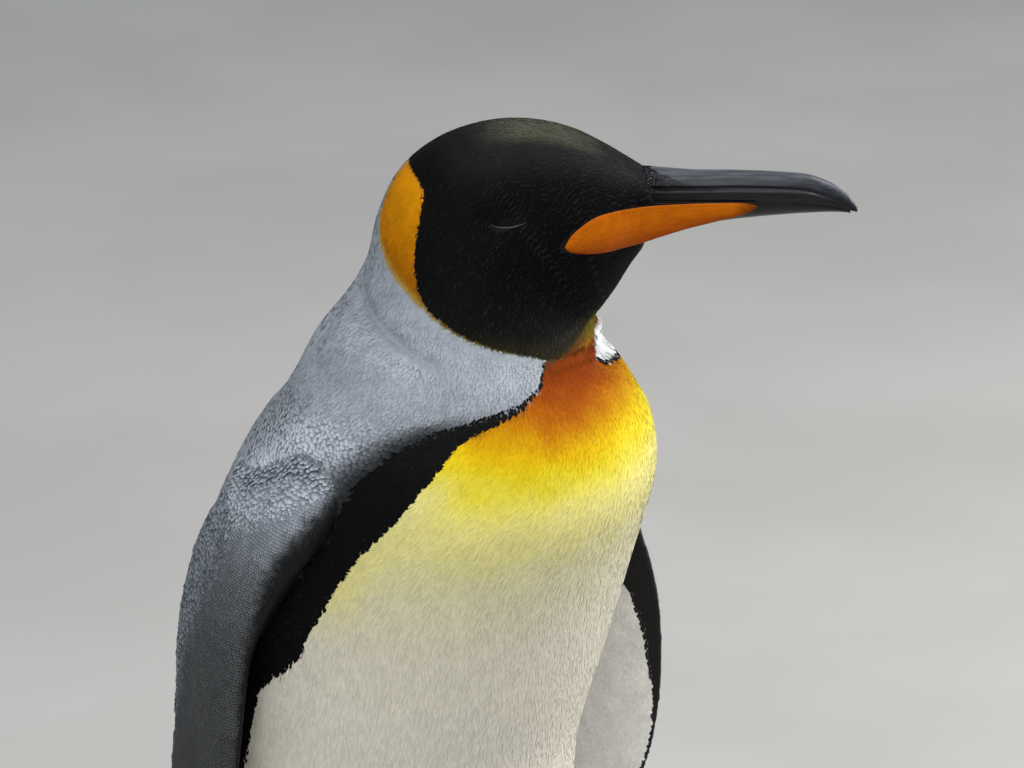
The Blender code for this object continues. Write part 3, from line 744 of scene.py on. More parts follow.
# ------------------------------------------------------------------ charts and rows
class Chart:
    """A form's skin sampled on a fine grid of its two parameters, read between the samples."""

    def __init__(self, surface: Callable, end: float, rows: int, columns: int) -> None:
        """Samples the form.

        Args:
            surface: The form's function of u and v, which closes round v.
            end: The greatest u; the least is 0.
            rows: Samples along u.
            columns: Samples round v, from -180 to 180 degrees.
        """
        self.end, self.rows, self.columns = end, rows, columns
        self.u = np.linspace(0, end, rows)
        self.v = np.linspace(-math.pi, math.pi, columns)
        u, v = np.meshgrid(self.u, self.v, indexing="ij")
        self.points = surface(u, v)
        self.along = np.gradient(self.points, self.u, axis=0)
        wrapped = np.concatenate([self.points[:, -2:-1], self.points, self.points[:, 1:2]], 1)
        self.round = (wrapped[:, 2:] - wrapped[:, :-2]) / (2 * (self.v[1] - self.v[0]))
        normal = unit(np.cross(self.round, self.along))
        middle = self.points[:, :-1].mean(1)[:, None]
        turned = np.sign(((self.points - middle) * normal).sum(-1).mean())
        self.normal = normal * turned

    def read(self, table: Array, u: Array, v: Array) -> Array:
        """A sampled table between its samples, wrapping round v and clipped along u."""
        fu = np.clip(u / self.end, 0, 1) * (self.rows - 1)
        fv = ((v + math.pi) / math.tau % 1.0) * (self.columns - 1)
        i = np.minimum(fu.astype(int), self.rows - 2)
        j = np.minimum(fv.astype(int), self.columns - 2)
        a, b = (fu - i)[..., None], (fv - j)[..., None]
        return ((table[i, j] * (1 - a) + table[i + 1, j] * a) * (1 - b)
                + (table[i, j + 1] * (1 - a) + table[i + 1, j + 1] * a) * b)

    def place(self, u: Array, v: Array) -> Array:
        """Points of the skin; past either end it runs on straight."""
        inside = np.clip(u, 0, self.end)
        at = self.read(self.points, inside, v)
        over = (u - inside)[..., None]
        return at + over * self.read(self.along, inside, v)

    def walk(self, u: Array, v: Array, distance: Array, parts: int = 4) -> Array:
        """Where u gets to over a distance along the skin, in a few short steps."""
        for _ in range(parts):
            stretch = np.linalg.norm(self.read(self.along, np.clip(u, 0, self.end), v), axis=-1)
            u = u + distance / parts / np.maximum(stretch, 1e-4)
        return u

    def level_rows(self, spacing: tuple, across: tuple, anchor: float,
                   rng: np.random.Generator, jitter: float) -> tuple[Array, Array]:
        """Staggered rows at even distances along the skin from an anchor ring.

        The distance along each meridian, divided by the spacing, counts the rows. Each whole
        count is a row, and its feathers stand at even lengths along it, every second row half
        a step on.

        Args:
            spacing: Table of u and the distance between rows.
            across: Table of u and the distance between feathers in a row.
            anchor: The u of row 0.
            rng: Source of the jitter.
            jitter: Greatest shift as a share of the spacing.

        Returns:
            u and v of every root.
        """
        step = np.linalg.norm(np.diff(self.points, axis=0), axis=-1)
        middle = (self.u[1:] + self.u[:-1]) / 2
        count = np.vstack([np.zeros((1, self.columns)),
                           np.cumsum(step / line(spacing, middle)[:, None], axis=0)])
        count -= count[np.searchsorted(self.u, anchor)][None, :]
        found_u, found_v = [], []
        for row in range(math.ceil(count.min()), math.floor(count.max()) + 1):
            above = (count < row).sum(0)
            valid = (above > 0) & (above < self.rows)
            above = np.clip(above, 1, self.rows - 1)
            low = np.take_along_axis(count, above[None] - 1, 0)[0]
            high = np.take_along_axis(count, above[None], 0)[0]
            u = self.u[above - 1] + self.u[1] * np.clip((row - low) / (high - low + 1e-12), 0, 1)
            at = self.place(u, self.v)
            gap = np.linalg.norm(np.diff(at, axis=0), axis=1)
            need = line(across, (u[1:] + u[:-1]) / 2)
            length = np.concatenate([[0], np.cumsum(gap / need)])
            n = max(3, int(round(length[-1])))
            where = (np.arange(n) + 0.5 * (row % 2)) * (length[-1] / n)
            where = where + rng.uniform(-jitter, jitter, n)
            v = np.interp(where % length[-1], length, self.v)
            good = np.interp(v, self.v, valid.astype(float)) > 0.99
            u = np.interp(v, self.v, u) + rng.uniform(-jitter, jitter, n) * self.row_step(u, v, spacing)
            found_u.append(u[good])
            found_v.append(v[good])
        return np.concatenate(found_u), np.concatenate(found_v)

    def row_step(self, u: Array, v: Array, spacing: tuple) -> Array:
        """How far u goes in one row's distance, near the first ring of those given."""
        at = np.full_like(v, float(np.median(u)))
        stretch = np.linalg.norm(self.read(self.along, at, v), axis=-1)
        return line(spacing, at) / np.maximum(stretch, 1e-6)

    def even_rows(self, spacing: float, first: float, last: float,
                  rng: np.random.Generator, jitter: float) -> tuple[Array, Array]:
        """Rows along rings of even u, with as many feathers as keep the density even.

        Where the rings fan closer together the feathers in a ring stand further apart. Each ring
        starts a golden-section step on from the one before, so that no pattern shows.
        """
        inside = (self.u >= first) & (self.u <= last)
        stretch = np.linalg.norm(self.along[inside], axis=-1).max()
        rings = np.arange(first, last, spacing / stretch)
        found_u, found_v = [], []
        for n, ring in enumerate(rings):
            at = np.full_like(self.v, ring)
            area = (np.linalg.norm(self.read(self.along, at, self.v), axis=-1)
                    * np.linalg.norm(self.read(self.round, at, self.v), axis=-1))
            per = area * (spacing / stretch) / spacing ** 2
            total = np.concatenate([[0], np.cumsum((per[1:] + per[:-1]) / 2 * np.diff(self.v))])
            m = int(total[-1])
            where = (np.arange(m) + n * GOLDEN_STEP % 1 + rng.uniform(-jitter, jitter, m)) % total[-1]
            found_v.append(np.interp(where, total, self.v))
            found_u.append(ring + rng.uniform(-jitter, jitter, m) * spacing / stretch)
        return np.concatenate(found_u), np.concatenate(found_v)


# ------------------------------------------------------------------ markings
class Zone(Enum):
    """The plumage areas of the body."""

    FRONT = 0
    BAND = 1
    BACK = 2
    HOOD = 3
    EAR = 4
    GOLD = 5


@dataclass(frozen=True)
class Markings:
    """Where each colour of the body's plumage begins and ends, by ring number and angle."""

    middle: tuple = ((9, 0), (10, -9.5), (11, -18), (12, -22.7), (13, -14), (14, -6), (15, 0))
    front: tuple = (  # ring, half angle of the white and yellow front
        (2, 95), (3, 100), (5, 95), (7, 92), (8, 88), (8.12, 85), (8.2, 81.5), (8.45, 75.5),
        (9.2, 71.5), (9.75, 68.4), (10.33, 63), (11.1, 59), (11.7, 57), (12.2, 54.5), (12.5, 41.6),
        (12.78, 36.5), (13, 38), (13.38, 38.5), (13.7, 44), (14.05, 50), (15, 60))
    silver: tuple = (  # ring, half angle at which the black band ends and the silver begins
        (2, 98), (5, 99), (7, 97), (8, 95), (8.6, 90), (9.4, 84), (9.83, 83), (10.33, 80),
        (11.05, 78.8), (11.85, 74.5), (12.28, 68.7), (12.45, 56.2), (12.6, 44), (12.78, 38.5),
        (13, 39.6), (13.38, 40), (13.7, 45.5), (14.05, 52), (15, 60))
    far_lobe: tuple = (  # ring, how much less both half angles are on the left, where that lobe ends
        (12.2, 0), (12.40, 6), (12.50, 18), (12.56, 27), (12.68, 30), (12.76, 33), (12.90, 34),
        (13.02, 14), (13.2, 4), (13.6, 4), (14.2, 8), (14.9, 6))
    hood: tuple = (  # angle off the throat, ring of the hood's edge
        (0, 19), (18.5, 17.8), (30, 15.85), (39.5, 14.5), (47.5, 13.9), (53, 13.7), (61.5, 14.05),
        (73.5, 14.2), (85, 14.35), (97, 14.55), (105, 14.7), (117, 14.95), (124, 15.25), (128, 15.65),
        (131, 16.03), (133.5, 16.45), (137, 16.82), (143, 17.25), (154, 17.32), (180, 17.3))
    solid: tuple = (  # angle, ring above which the hood has no olive tips
        (0, 20.5), (28.5, 18.3), (37.5, 16.4), (50.5, 15.43), (64.5, 15.1), (88, 15.08), (110, 14.9))
    ear: tuple = (  # angle, ring of the ear patch's rear and lower edge
        (108, 14.75), (110, 14.68), (119, 14.9), (128, 15.05), (139.5, 15.25), (152, 15.5),
        (163, 15.78), (172, 16.1), (177, 16.5), (179, 17.3))
    gold_width: float = 0.085
    paling: tuple = (  # angle, how much the yellow of the front drops
        (-84, 0.012), (-74, 0.007), (-64, 0.003), (-48, 0), (-36, 0.0005), (-20, 0.003), (-4, 0.007),
        (12, 0.011), (24, 0.012), (60, 0.012))
    silver_high: tuple = (  # angle off the throat, brightness of the silver by the shoulders, partly its own and partly a painted highlight
        (95, 0.22), (103, 0.30), (110, 0.42), (118, 0.50), (131, 0.54), (141, 0.40), (152, 0.30),
        (180, 0.26))
    silver_low: tuple = ((95, 0.20), (105, 0.26), (115, 0.25), (120, 0.20), (150, 0.17), (180, 0.16))

    def zones(self, ring: Array, angle: Array) -> Array:
        """The Zone value of each place."""
        degrees = signed_degrees(angle)
        off = np.abs(degrees)
        side = self.from_middle(ring, degrees)
        hood_edge = line(self.hood, off)
        found = np.full(ring.shape, Zone.BACK.value)
        found[side < line(self.silver, ring)] = Zone.BAND.value
        found[side < line(self.front, ring)] = Zone.FRONT.value
        width = self.gold_width * smooth(50, 62, off)
        found[(off < 117) & (side > line(self.silver, ring)) & (ring > hood_edge - width)
              & (ring > 13)] = Zone.GOLD.value
        found[(off > 110) & (off < 179) & (ring > line(self.ear, off))] = Zone.EAR.value
        found[ring > hood_edge] = Zone.HOOD.value
        return found

    def from_middle(self, ring: Array, degrees: Array) -> Array:
        """Degrees from the front's middle line, which the turned head draws to the right."""
        side = degrees - line(self.middle, ring)
        return np.where(side > 0, side + line(self.far_lobe, ring), -side)

    def front_colour(self, ring: Array, angle: Array, height: Array) -> Array:
        """White below, then cream, yellow, gold and burnt orange up to the throat.

        The colour follows the height above the floor, less a drop that grows to either side of
        the line of deepest orange. Along the black band runs a yellow fringe, which reaches lower
        down than the rest. On the throat the colour follows the rings from the hood's edge down:
        near black to burnt orange on the right, olive to gold in the middle. The darkest tones at
        the top of the front and on the right of the throat are partly their own colour and partly
        painted shade under the chin.
        """
        degrees = signed_degrees(angle)
        side = self.from_middle(ring, degrees) / line(self.front, ring)
        # the stops from about 0.655 up deepen to the throat: partly its own deeper orange, partly painted
        # shade under the chin
        body = colour_stops((
            (0.480, 0.66, 0.622, 0.54), (0.538, 0.66, 0.618, 0.515), (0.552, 0.66, 0.615, 0.48),
            (0.565, 0.66, 0.615, 0.445), (0.578, 0.67, 0.625, 0.415), (0.590, 0.69, 0.640, 0.35),
            (0.600, 0.71, 0.655, 0.28), (0.613, 0.76, 0.690, 0.240), (0.619, 0.78, 0.700, 0.195),
            (0.625, 0.76, 0.670, 0.115), (0.631, 0.71, 0.600, 0.050), (0.637, 0.66, 0.510, 0.014),
            (0.643, 0.60, 0.395, 0.003), (0.649, 0.51, 0.265, 0.0008), (0.655, 0.41, 0.155, 0.0005),
            (0.661, 0.32, 0.083, 0.0005), (0.667, 0.24, 0.045, 0.0005), (0.673, 0.19, 0.030, 0.0005),
            (0.679, 0.14, 0.024, 0.0008)), height - line(self.paling, degrees))
        fringe = smooth(0.78, 0.98, side) * smooth(0.550, 0.585, height) * smooth(0.645, 0.628, height)
        body = blend(body, (0.72, 0.65, 0.255), fringe * 0.85)
        below = line(self.hood, np.abs(degrees)) - ring
        # near: the right of the throat, darker than the middle: partly its own colour, partly painted shade
        # under the chin
        near = colour_stops(((0.0, 0.018, 0.013, 0.002), (0.5, 0.035, 0.022, 0.003),
                             (1.0, 0.080, 0.030, 0.003), (1.8, 0.120, 0.028, 0.002),
                             (3.0, 0.170, 0.032, 0.001)), below)
        far = colour_stops(((0.0, 0.04, 0.038, 0.004), (0.4, 0.07, 0.066, 0.006),
                            (1.7, 0.13, 0.108, 0.008), (3.0, 0.20, 0.138, 0.006),
                            (4.2, 0.26, 0.120, 0.002), (5.0, 0.30, 0.095, 0.001)), below)
        throat = blend(near, far, smooth(-36, -13, degrees))
        return blend(body, throat, smooth(12.8, 13.7, ring))

    def colours(self, ring: Array, angle: Array, points: Array) -> tuple[Array, Array]:
        """Root and tip colour of the feather at each place.

        Args:
            ring: Ring number of each root.
            angle: Angle of each root in radians.
            points: Places of the roots.

        Returns:
            Colours at the feathers' roots, and at their tips.
        """
        zone = self.zones(ring, angle)[:, None]
        degrees = signed_degrees(angle)
        off = np.abs(degrees)
        mottle = lattice_noise(points, 0.009, 3)
        fine = lattice_noise(points, 0.0026, 5)
        nape = smooth(11.6, 13.0, ring)
        # light: the silver's brightness, with a highlight painted on the shoulders through silver_high
        light = line(self.silver_low, off) + smooth(9.2, 10.3, ring) * (
            line(self.silver_high, off) - line(self.silver_low, off))
        light = (light + nape * (0.365 - light)) * (1 + 0.08 * mottle + 0.10 * fine)
        edge = self.from_middle(ring, degrees) - line(self.silver, ring)
        light = light * (0.06 + 0.94 * np.maximum(smooth(0, 16, edge), smooth(12.2, 12.6, ring)))
        tip = light[:, None] * np.array([1.0, 1.085, 1.21])
        # lobe: on the far shoulder lobe the silver tips are painted near white, a painted highlight where
        # the sky lights it
        lobe = smooth(46, 24, degrees) * smooth(-30, -20, degrees) * smooth(12.3, 12.45, ring)
        tip = blend(tip, (0.87, 0.88, 0.90), lobe * smooth(13.5, 12.95, ring))
        deep = smooth(132, 146, off) * smooth(12.4, 11.4, ring)
        # the lobe's roots are lightened by the same painted highlight
        lobe_highlight_root = 0.22 * lobe * smooth(13.5, 12.95, ring) * smooth(12.3, 12.6, ring)
        # roots darker than tips, here and in each zone below: partly the feathers' own darker bases, partly
        # painted shade in the gaps between feathers
        root = tip * (0.34 + 0.26 * nape - 0.22 * deep * smooth(7.0, 9.5, ring) + lobe_highlight_root)[:, None]
        black = np.array([0.0040, 0.0041, 0.0042])
        band_tip, band_root = black * 1.3, black * 0.6
        front_tip = self.front_colour(ring, angle, points[:, 2] + 0.003 * mottle)
        front_tip = front_tip * (1 + 0.05 * fine)[:, None]
        front_root = front_tip * np.array([0.97, 0.95, 0.90])
        olive = smooth(0, 1, (line(self.solid, off) - ring) / 0.8) * smooth(110, 80, off)
        # crown: an olive sheen painted on the crown; top: a highlight painted on the top of the head; both
        # are added to the hood's tips below
        crown = smooth(18.6, 19.8, ring) * smooth(22.4, 20.8, ring) * smooth(148, 162, off)
        top = smooth(120, 150, off) * smooth(17.5, 19.0, ring)
        hood_tip = np.array([0.0030, 0.0030, 0.0029])
        for share, colour in ((olive, (0.013, 0.011, 0.001)), (crown, (0.070, 0.073, 0.045)),
                              (top, (0.013, 0.014, 0.014))):
            hood_tip = hood_tip + share[:, None] * np.array(colour)
        hood_tip = hood_tip * (1 + 0.15 * fine)[:, None]
        rim = smooth(0.22, 0.0, ring - line(self.ear, off))
        ear = colour_stops(((14.7, 0.12, 0.070, 0.003), (15.0, 0.20, 0.090, 0.002),
                            (15.3, 0.34, 0.115, 0.001), (15.9, 0.50, 0.170, 0.001),
                            (16.8, 0.64, 0.250, 0.001)), ring)
        ear = blend(ear, (0.50, 0.40, 0.09), rim * 0.55)
        ear = ear * (1 + 0.08 * fine)[:, None]
        gold = colour_stops(((50, 0.050, 0.050, 0.006), (80, 0.090, 0.080, 0.006),
                             (100, 0.140, 0.100, 0.005), (115, 0.180, 0.100, 0.004)), off)
        for which, its_root, its_tip in (
                (Zone.BAND, band_root, band_tip), (Zone.FRONT, front_root, front_tip),
                (Zone.HOOD, np.array([0.0025, 0.0025, 0.0025]), hood_tip),
                (Zone.EAR, ear * 0.72, ear), (Zone.GOLD, gold * 0.7, gold)):
            root = np.where(zone == which.value, its_root, root)
            tip = np.where(zone == which.value, its_tip, tip)
        return root, tip


# ------------------------------------------------------------------ the coat
@dataclass(frozen=True)
class Vane:
    """The blade of one kind of feather: a thin solid with a flat top and a keel below."""

    length: float
    width: float
    lift: float
    thick: float = 0.0004
    stations: tuple = ((0.0, 0.55, 0.0, 0.0), (0.52, 1.0, 0.75, 0.45))  # along, width, lift, tint
    loose: float = 0.28  # how much the lift varies from feather to feather

    @property
    def pointed(self) -> bool:
        """Whether the blade starts in a point."""
        return self.stations[0][1] == 0

    @property
    def triangles(self) -> int:
        """Triangles in one blade."""
        return 6 * (len(self.stations) - 1) + (0 if self.pointed else 4)

    def faces(self) -> tuple[Array, Array]:
        """Quads and triangles of one blade.

        Its points go left, right, keel at each station, and end with the tip. A pointed blade has
        one point at its first station.
        """
        first = 1 if self.pointed else 0
        last = first + 3 * (len(self.stations) - 1 - first)
        tip, quads = last + 3, []
        for at in range(first, last, 3):
            quads += [(at, at + 3, at + 4, at + 1), (at, at + 2, at + 5, at + 3),
                      (at + 2, at + 1, at + 4, at + 5)]
        threes = [(last, tip, last + 1), (last, last + 2, tip), (last + 2, last + 1, tip)]
        threes += [(0, 1, 2), (0, 3, 1), (0, 2, 3)] if self.pointed else [(0, 1, 2)]
        return np.array(quads, int).reshape(-1, 4), np.array(threes)

    def flat(self) -> Array:
        """Each point's place across (0 to 1) and along (0 to 1) the blade."""
        rows = [[(0.5 - w / 2, t), (0.5 + w / 2, t), (0.5, t)] for t, w, _, _ in self.stations]
        rows[0] = rows[0][2:] if self.pointed else rows[0]
        return np.array([p for row in rows for p in row] + [(0.5, 1.0)])


PLUSH = Vane(0.0034, 0.00120, 0.00028, 0.00020, ((0.0, 0.0, -0.6, 0.0), (0.58, 1.0, 0.7, 0.5)), 0.2)
PLUME = Vane(0.0082, 0.00185, 0.00024, 0.00012, ((0.0, 0.0, -0.6, 0.0), (0.55, 1.0, 0.7, 0.5)), 0.12)
NAPE = Vane(0.0052, 0.0018, 0.00036, 0.00025, ((0.0, 0.0, -0.6, 0.0), (0.66, 1.0, 0.8, 0.45)))
SCALE = Vane(0.0030, 0.0016, 0.00042, 0.0002, ((0.0, 0.0, -0.6, 0.0), (0.62, 1.0, 0.9, 0.12)), 0.15)
CONTOUR = Vane(0.0068, 0.0036, 0.00070, 0.0004,
               ((0.0, 0.5, -0.2, 0.0), (0.62, 0.95, 0.55, 0.12), (0.87, 0.82, 0.95, 0.95)))


@dataclass
class Growth:
    """Where one coat's feathers stand, and how each one is made."""

    u: Array
    v: Array
    root: Array  # colour at the root, darker than the tip: partly the feather's own base, partly painted shade in the gaps between feathers
    tip: Array  # colour at the tip
    size: Array  # length and width as shares of the vane's
    lean: Array  # how far the heading turns off the chart's u, in radians

    def kept(self, good: Array) -> Growth:
        """Only the feathers that are wanted."""
        return Growth(*(table[good] for table in (self.u, self.v, self.root, self.tip, self.size,
                                                  self.lean)))


class Coat:
    """Feathers of one kind over one chart, laid as solid blades along the skin."""

    def __init__(self, name: str, chart: Chart, vane: Vane, way: int, seed: int) -> None:
        """Names the coat and its source of variation; way is 1 where feathers point up the
        chart's u, and -1 where they point down it."""
        self.name, self.chart, self.vane, self.way = name, chart, vane, way
        self.rng = np.random.default_rng(seed)

    def roots_on(self, skin: bpy.types.Object, points: Array) -> Array:
        """The nearest place on the skin to each point."""
        mesh = bpy.data.meshes.new("roots")
        mesh.vertices.add(len(points))
        mesh.vertices.foreach_set("co", points.astype(np.float32).ravel())
        probe = bpy.data.objects.new("roots", mesh)
        bpy.context.scene.collection.objects.link(probe)
        wrap = probe.modifiers.new("wrap", "SHRINKWRAP")
        wrap.target = skin
        wrap.wrap_method = "NEAREST_SURFACEPOINT"
        settled(probe)
        found = coordinates(probe.data)
        mesh = probe.data
        bpy.data.objects.remove(probe)
        bpy.data.meshes.remove(mesh)
        return found

    def blades(self, growth: Growth, shift: Array) -> tuple[Array, Array]:
        """The points and the colours of every blade.

        A blade's stations lie at their shares of its length from the root, straight along its own
        heading on the chart, so that it bends with the skin. Each station stands off the skin by
        its share of the lift, and carries a left, a right and a keel point half a width out and a
        thickness down.

        Args:
            growth: The feathers.
            shift: How far each root moves to meet the skin.

        Returns:
            Arrays of shape (feathers, points of a blade, 3).
        """
        vane, chart, count = self.vane, self.chart, len(growth.u)
        shares = np.array([row[0] for row in vane.stations] + [1.0])
        wide = np.array([row[1] for row in vane.stations] + [0.0])
        high = np.array([row[2] for row in vane.stations] + [1.0])
        tone = np.array([row[3] for row in vane.stations] + [1.0])
        stretch_v = np.linalg.norm(chart.read(chart.round, growth.u, growth.v), axis=-1)
        step = growth.size[:, None] * vane.length * shares[None, :]
        v = growth.v[:, None] + (np.sin(growth.lean) / np.maximum(stretch_v, 1e-3))[:, None] * step
        u = [growth.u]
        for n in range(1, len(shares)):
            ahead = self.way * np.cos(growth.lean) * (step[:, n] - step[:, n - 1])
            u.append(chart.walk(u[-1], v[:, n], ahead, 2))
        u = np.stack(u, 1)
        at = chart.place(u, v) + shift[:, None, :]
        up = unit(chart.read(chart.normal, np.clip(u, 0, chart.end), v))
        ahead = np.concatenate([at[:, 1:2] - at[:, :1], at[:, 2:] - at[:, :-2],
                                at[:, -1:] - at[:, -2:-1]], 1)
        across = unit(np.cross(up, unit(ahead)))
        ruffle = self.rng.uniform(1 - vane.loose, 1 + vane.loose, (count, 1))
        ruffle = ruffle * np.minimum(growth.size, 1.0)[:, None]
        roll = self.rng.normal(0, 0.36 * vane.loose, (count, 1))
        half = vane.width / 2 * wide[None, :] * growth.size[:, None]
        lift = vane.lift * high[None, :] * ruffle
        left = at + up * (lift + roll * half)[..., None] - across * half[..., None]
        right = at + up * (lift - roll * half)[..., None] + across * half[..., None]
        keel = at + up * (lift - vane.thick)[..., None]
        body = np.stack([left[:, :-1], right[:, :-1], keel[:, :-1]], 2).reshape(count, -1, 3)
        body = body[:, 2:] if vane.pointed else body
        tip = (at + up * lift[..., None])[:, -1:]
        shade = growth.root[:, None] + (growth.tip - growth.root)[:, None] * tone[None, :, None]
        shade = shade * self.rng.uniform(0.93, 1.07, (count, 1, 1))
        shades = np.concatenate([np.repeat(shade[:, :-1], 3, axis=1), shade[:, -1:]], 1)
        shades = shades[:, 2:] if vane.pointed else shades
        return np.concatenate([body, tip], 1), shades

    def grow(self, growth: Growth, skin: bpy.types.Object, reach: float,
             most: int = 186000) -> list[bpy.types.Object]:
        """Makes the coat's pieces.

        Args:
            growth: The feathers.
            skin: What they are rooted in.
            reach: A feather whose root is further than this from the skin is left out.
            most: The most triangles in a piece.

        Returns:
            The pieces, each an object with its tint, its bake map and its vane map.
        """
        at = self.chart.place(growth.u, growth.v)
        shift = self.roots_on(skin, at) - at
        good = np.linalg.norm(shift, axis=1) < reach
        growth, shift = growth.kept(good), shift[good]
        points, shades = self.blades(growth, shift)
        per = most // self.vane.triangles
        parts = max(1, math.ceil(len(points) / per))
        edges = np.linspace(0, len(points), parts + 1).astype(int)
        pieces = []
        for n, (low, high) in enumerate(zip(edges[:-1], edges[1:])):
            name = self.name if parts == 1 else f"{self.name}_{n + 1}"
            pieces.append(self.piece(name, points[low:high], shades[low:high],
                                     growth.u[low:high], growth.v[low:high]))
        log.info("%s: %d feathers in %d pieces", self.name, len(points), parts)
        return pieces

    def piece(self, name: str, points: Array, shades: Array, u: Array,
              v: Array) -> bpy.types.Object:
        """One piece of the coat, from its blades' points, colours and roots on the chart.

        On the bake map each blade covers a small square round its root's place on the chart, and
        on the vane map the whole of it.
        """
        count, each, _ = points.shape
        quads, threes = self.vane.faces()
        first = (np.arange(count) * each)[:, None, None]
        all_quads = (quads[None] + first).reshape(-1, 4)
        all_threes = (threes[None] + first).reshape(-1, 3)
        made = new_object(name, points.reshape(-1, 3), [all_quads, all_threes])
        made.data.set_sharp_from_angle(angle=math.radians(60))
        paint(made, shades.reshape(-1, 3))
        flat = self.vane.flat()
        corners = np.concatenate([all_quads.ravel(), all_threes.ravel()])
        local = flat[corners % each]
        feather = corners // each
        root = np.stack([v / math.tau % 1.0, u / self.chart.end], -1)[feather]
        store_map(made.data, "OFBake", 0.004 + 0.99 * root + (local - 0.5) * 0.003)
        store_map(made.data, "vane", local)
        return made


def store_map(mesh: bpy.types.Mesh, name: str, flat: Array) -> None:
    """Stores one UV place for each face corner."""
    layer = mesh.uv_layers.new(name=name)
    layer.uv.foreach_set("vector", np.asarray(flat, np.float32).ravel())


# ------------------------------------------------------------------ finishes
class Nodes:
    """A node tree being built."""

    def __init__(self, tree: bpy.types.NodeTree) -> None:
        """Starts on an empty tree."""
        self.tree = tree
        tree.nodes.clear()

    def add(self, kind: str, inputs: dict | None = None, **settings: object) -> bpy.types.Node:
        """Adds a node.

        Args:
            kind: The node's type, without its leading ShaderNode.
            inputs: Socket names or numbers, each with a value or with a socket to join to.
            settings: Properties of the node.

        Returns:
            The node.
        """
        node = self.tree.nodes.new(kind if kind.startswith("Node") else f"ShaderNode{kind}")
        for key, value in settings.items():
            setattr(node, key, value)
        for key, value in (inputs or {}).items():
            if isinstance(value, bpy.types.NodeSocket):
                self.tree.links.new(value, node.inputs[key])
            else:
                node.inputs[key].default_value = value
        return node

    def maths(self, operation: str, first: object, second: object = 0.0,
              third: object = 0.0) -> bpy.types.NodeSocket:
        """The result of a Math node."""
        return self.add("Math", {0: first, 1: second, 2: third}, operation=operation).outputs[0]

    def ramp(self, value: object, low: float, high: float, start: float = 0.0,
             end: float = 1.0) -> bpy.types.NodeSocket:
        """A value carried from one range to another with soft ends."""
        return self.add("MapRange", {"Value": value, "From Min": low, "From Max": high, "To Min": start,
                                     "To Max": end}, interpolation_type="SMOOTHSTEP").outputs[0]

    def mix(self, share: object, first: object, second: object,
            blend_type: str = "MIX") -> bpy.types.NodeSocket:
        """A mix of two colours."""
        node = self.add("Mix", None, data_type="RGBA", blend_type=blend_type)
        for slot, value in ((0, share), (6, first), (7, second)):
            if isinstance(value, bpy.types.NodeSocket):
                self.tree.links.new(value, node.inputs[slot])
            else:
                node.inputs[slot].default_value = value
        return node.outputs[2]

    def group(self, tree: bpy.types.NodeTree, **inputs: object) -> bpy.types.Node:
        """A node group, with a value or a socket for each named input."""
        return self.add("Group", inputs, node_tree=tree)

    def tint(self) -> bpy.types.NodeSocket:
        """Each vertex's own colour."""
        return self.add("Attribute", attribute_name="tint").outputs["Color"]

    def shaded(self, colour: object, value: object) -> bpy.types.NodeSocket:
        """A colour multiplied by one value."""
        grey = self.add("CombineXYZ", {0: value, 1: value, 2: value}).outputs[0]
        return self.mix(1.0, colour, grey, "MULTIPLY")

    def principled(self, inputs: dict) -> None:
        """Ends a material's tree in a Principled shader."""
        shader = self.add("BsdfPrincipled", inputs)
        self.add("OutputMaterial", {"Surface": shader.outputs[0]})


def new_material(name: str) -> tuple[bpy.types.Material, Nodes]:
    """A new material, and its node tree ready to build."""
    made = bpy.data.materials.new(name)
    made.use_nodes = True
    return made, Nodes(made.node_tree)


def effect(name: str, inputs: tuple, outputs: tuple) -> tuple[Nodes, bpy.types.Node, bpy.types.Node]:
    """A new shader node group with named sockets.

    Args:
        name: The group's name.
        inputs: Pairs of a socket's name and its starting value, or a colour for a colour socket.
        outputs: Names of the outputs; one that starts with a capital C is a colour.

    Returns:
        The tree under construction, its input node and its output node.
    """
    tree = bpy.data.node_groups.new(name, "ShaderNodeTree")
    for label, value in inputs:
        kind = "NodeSocketFloat" if isinstance(value, float) else "NodeSocketColor"
        socket = tree.interface.new_socket(label, in_out="INPUT", socket_type=kind)
        socket.default_value = value
    for label in outputs:
        kind = "NodeSocketColor" if label.startswith("C") else "NodeSocketFloat"
        tree.interface.new_socket(label, in_out="OUTPUT", socket_type=kind)
    nodes = Nodes(tree)
    return nodes, nodes.add("NodeGroupInput"), nodes.add("NodeGroupOutput")


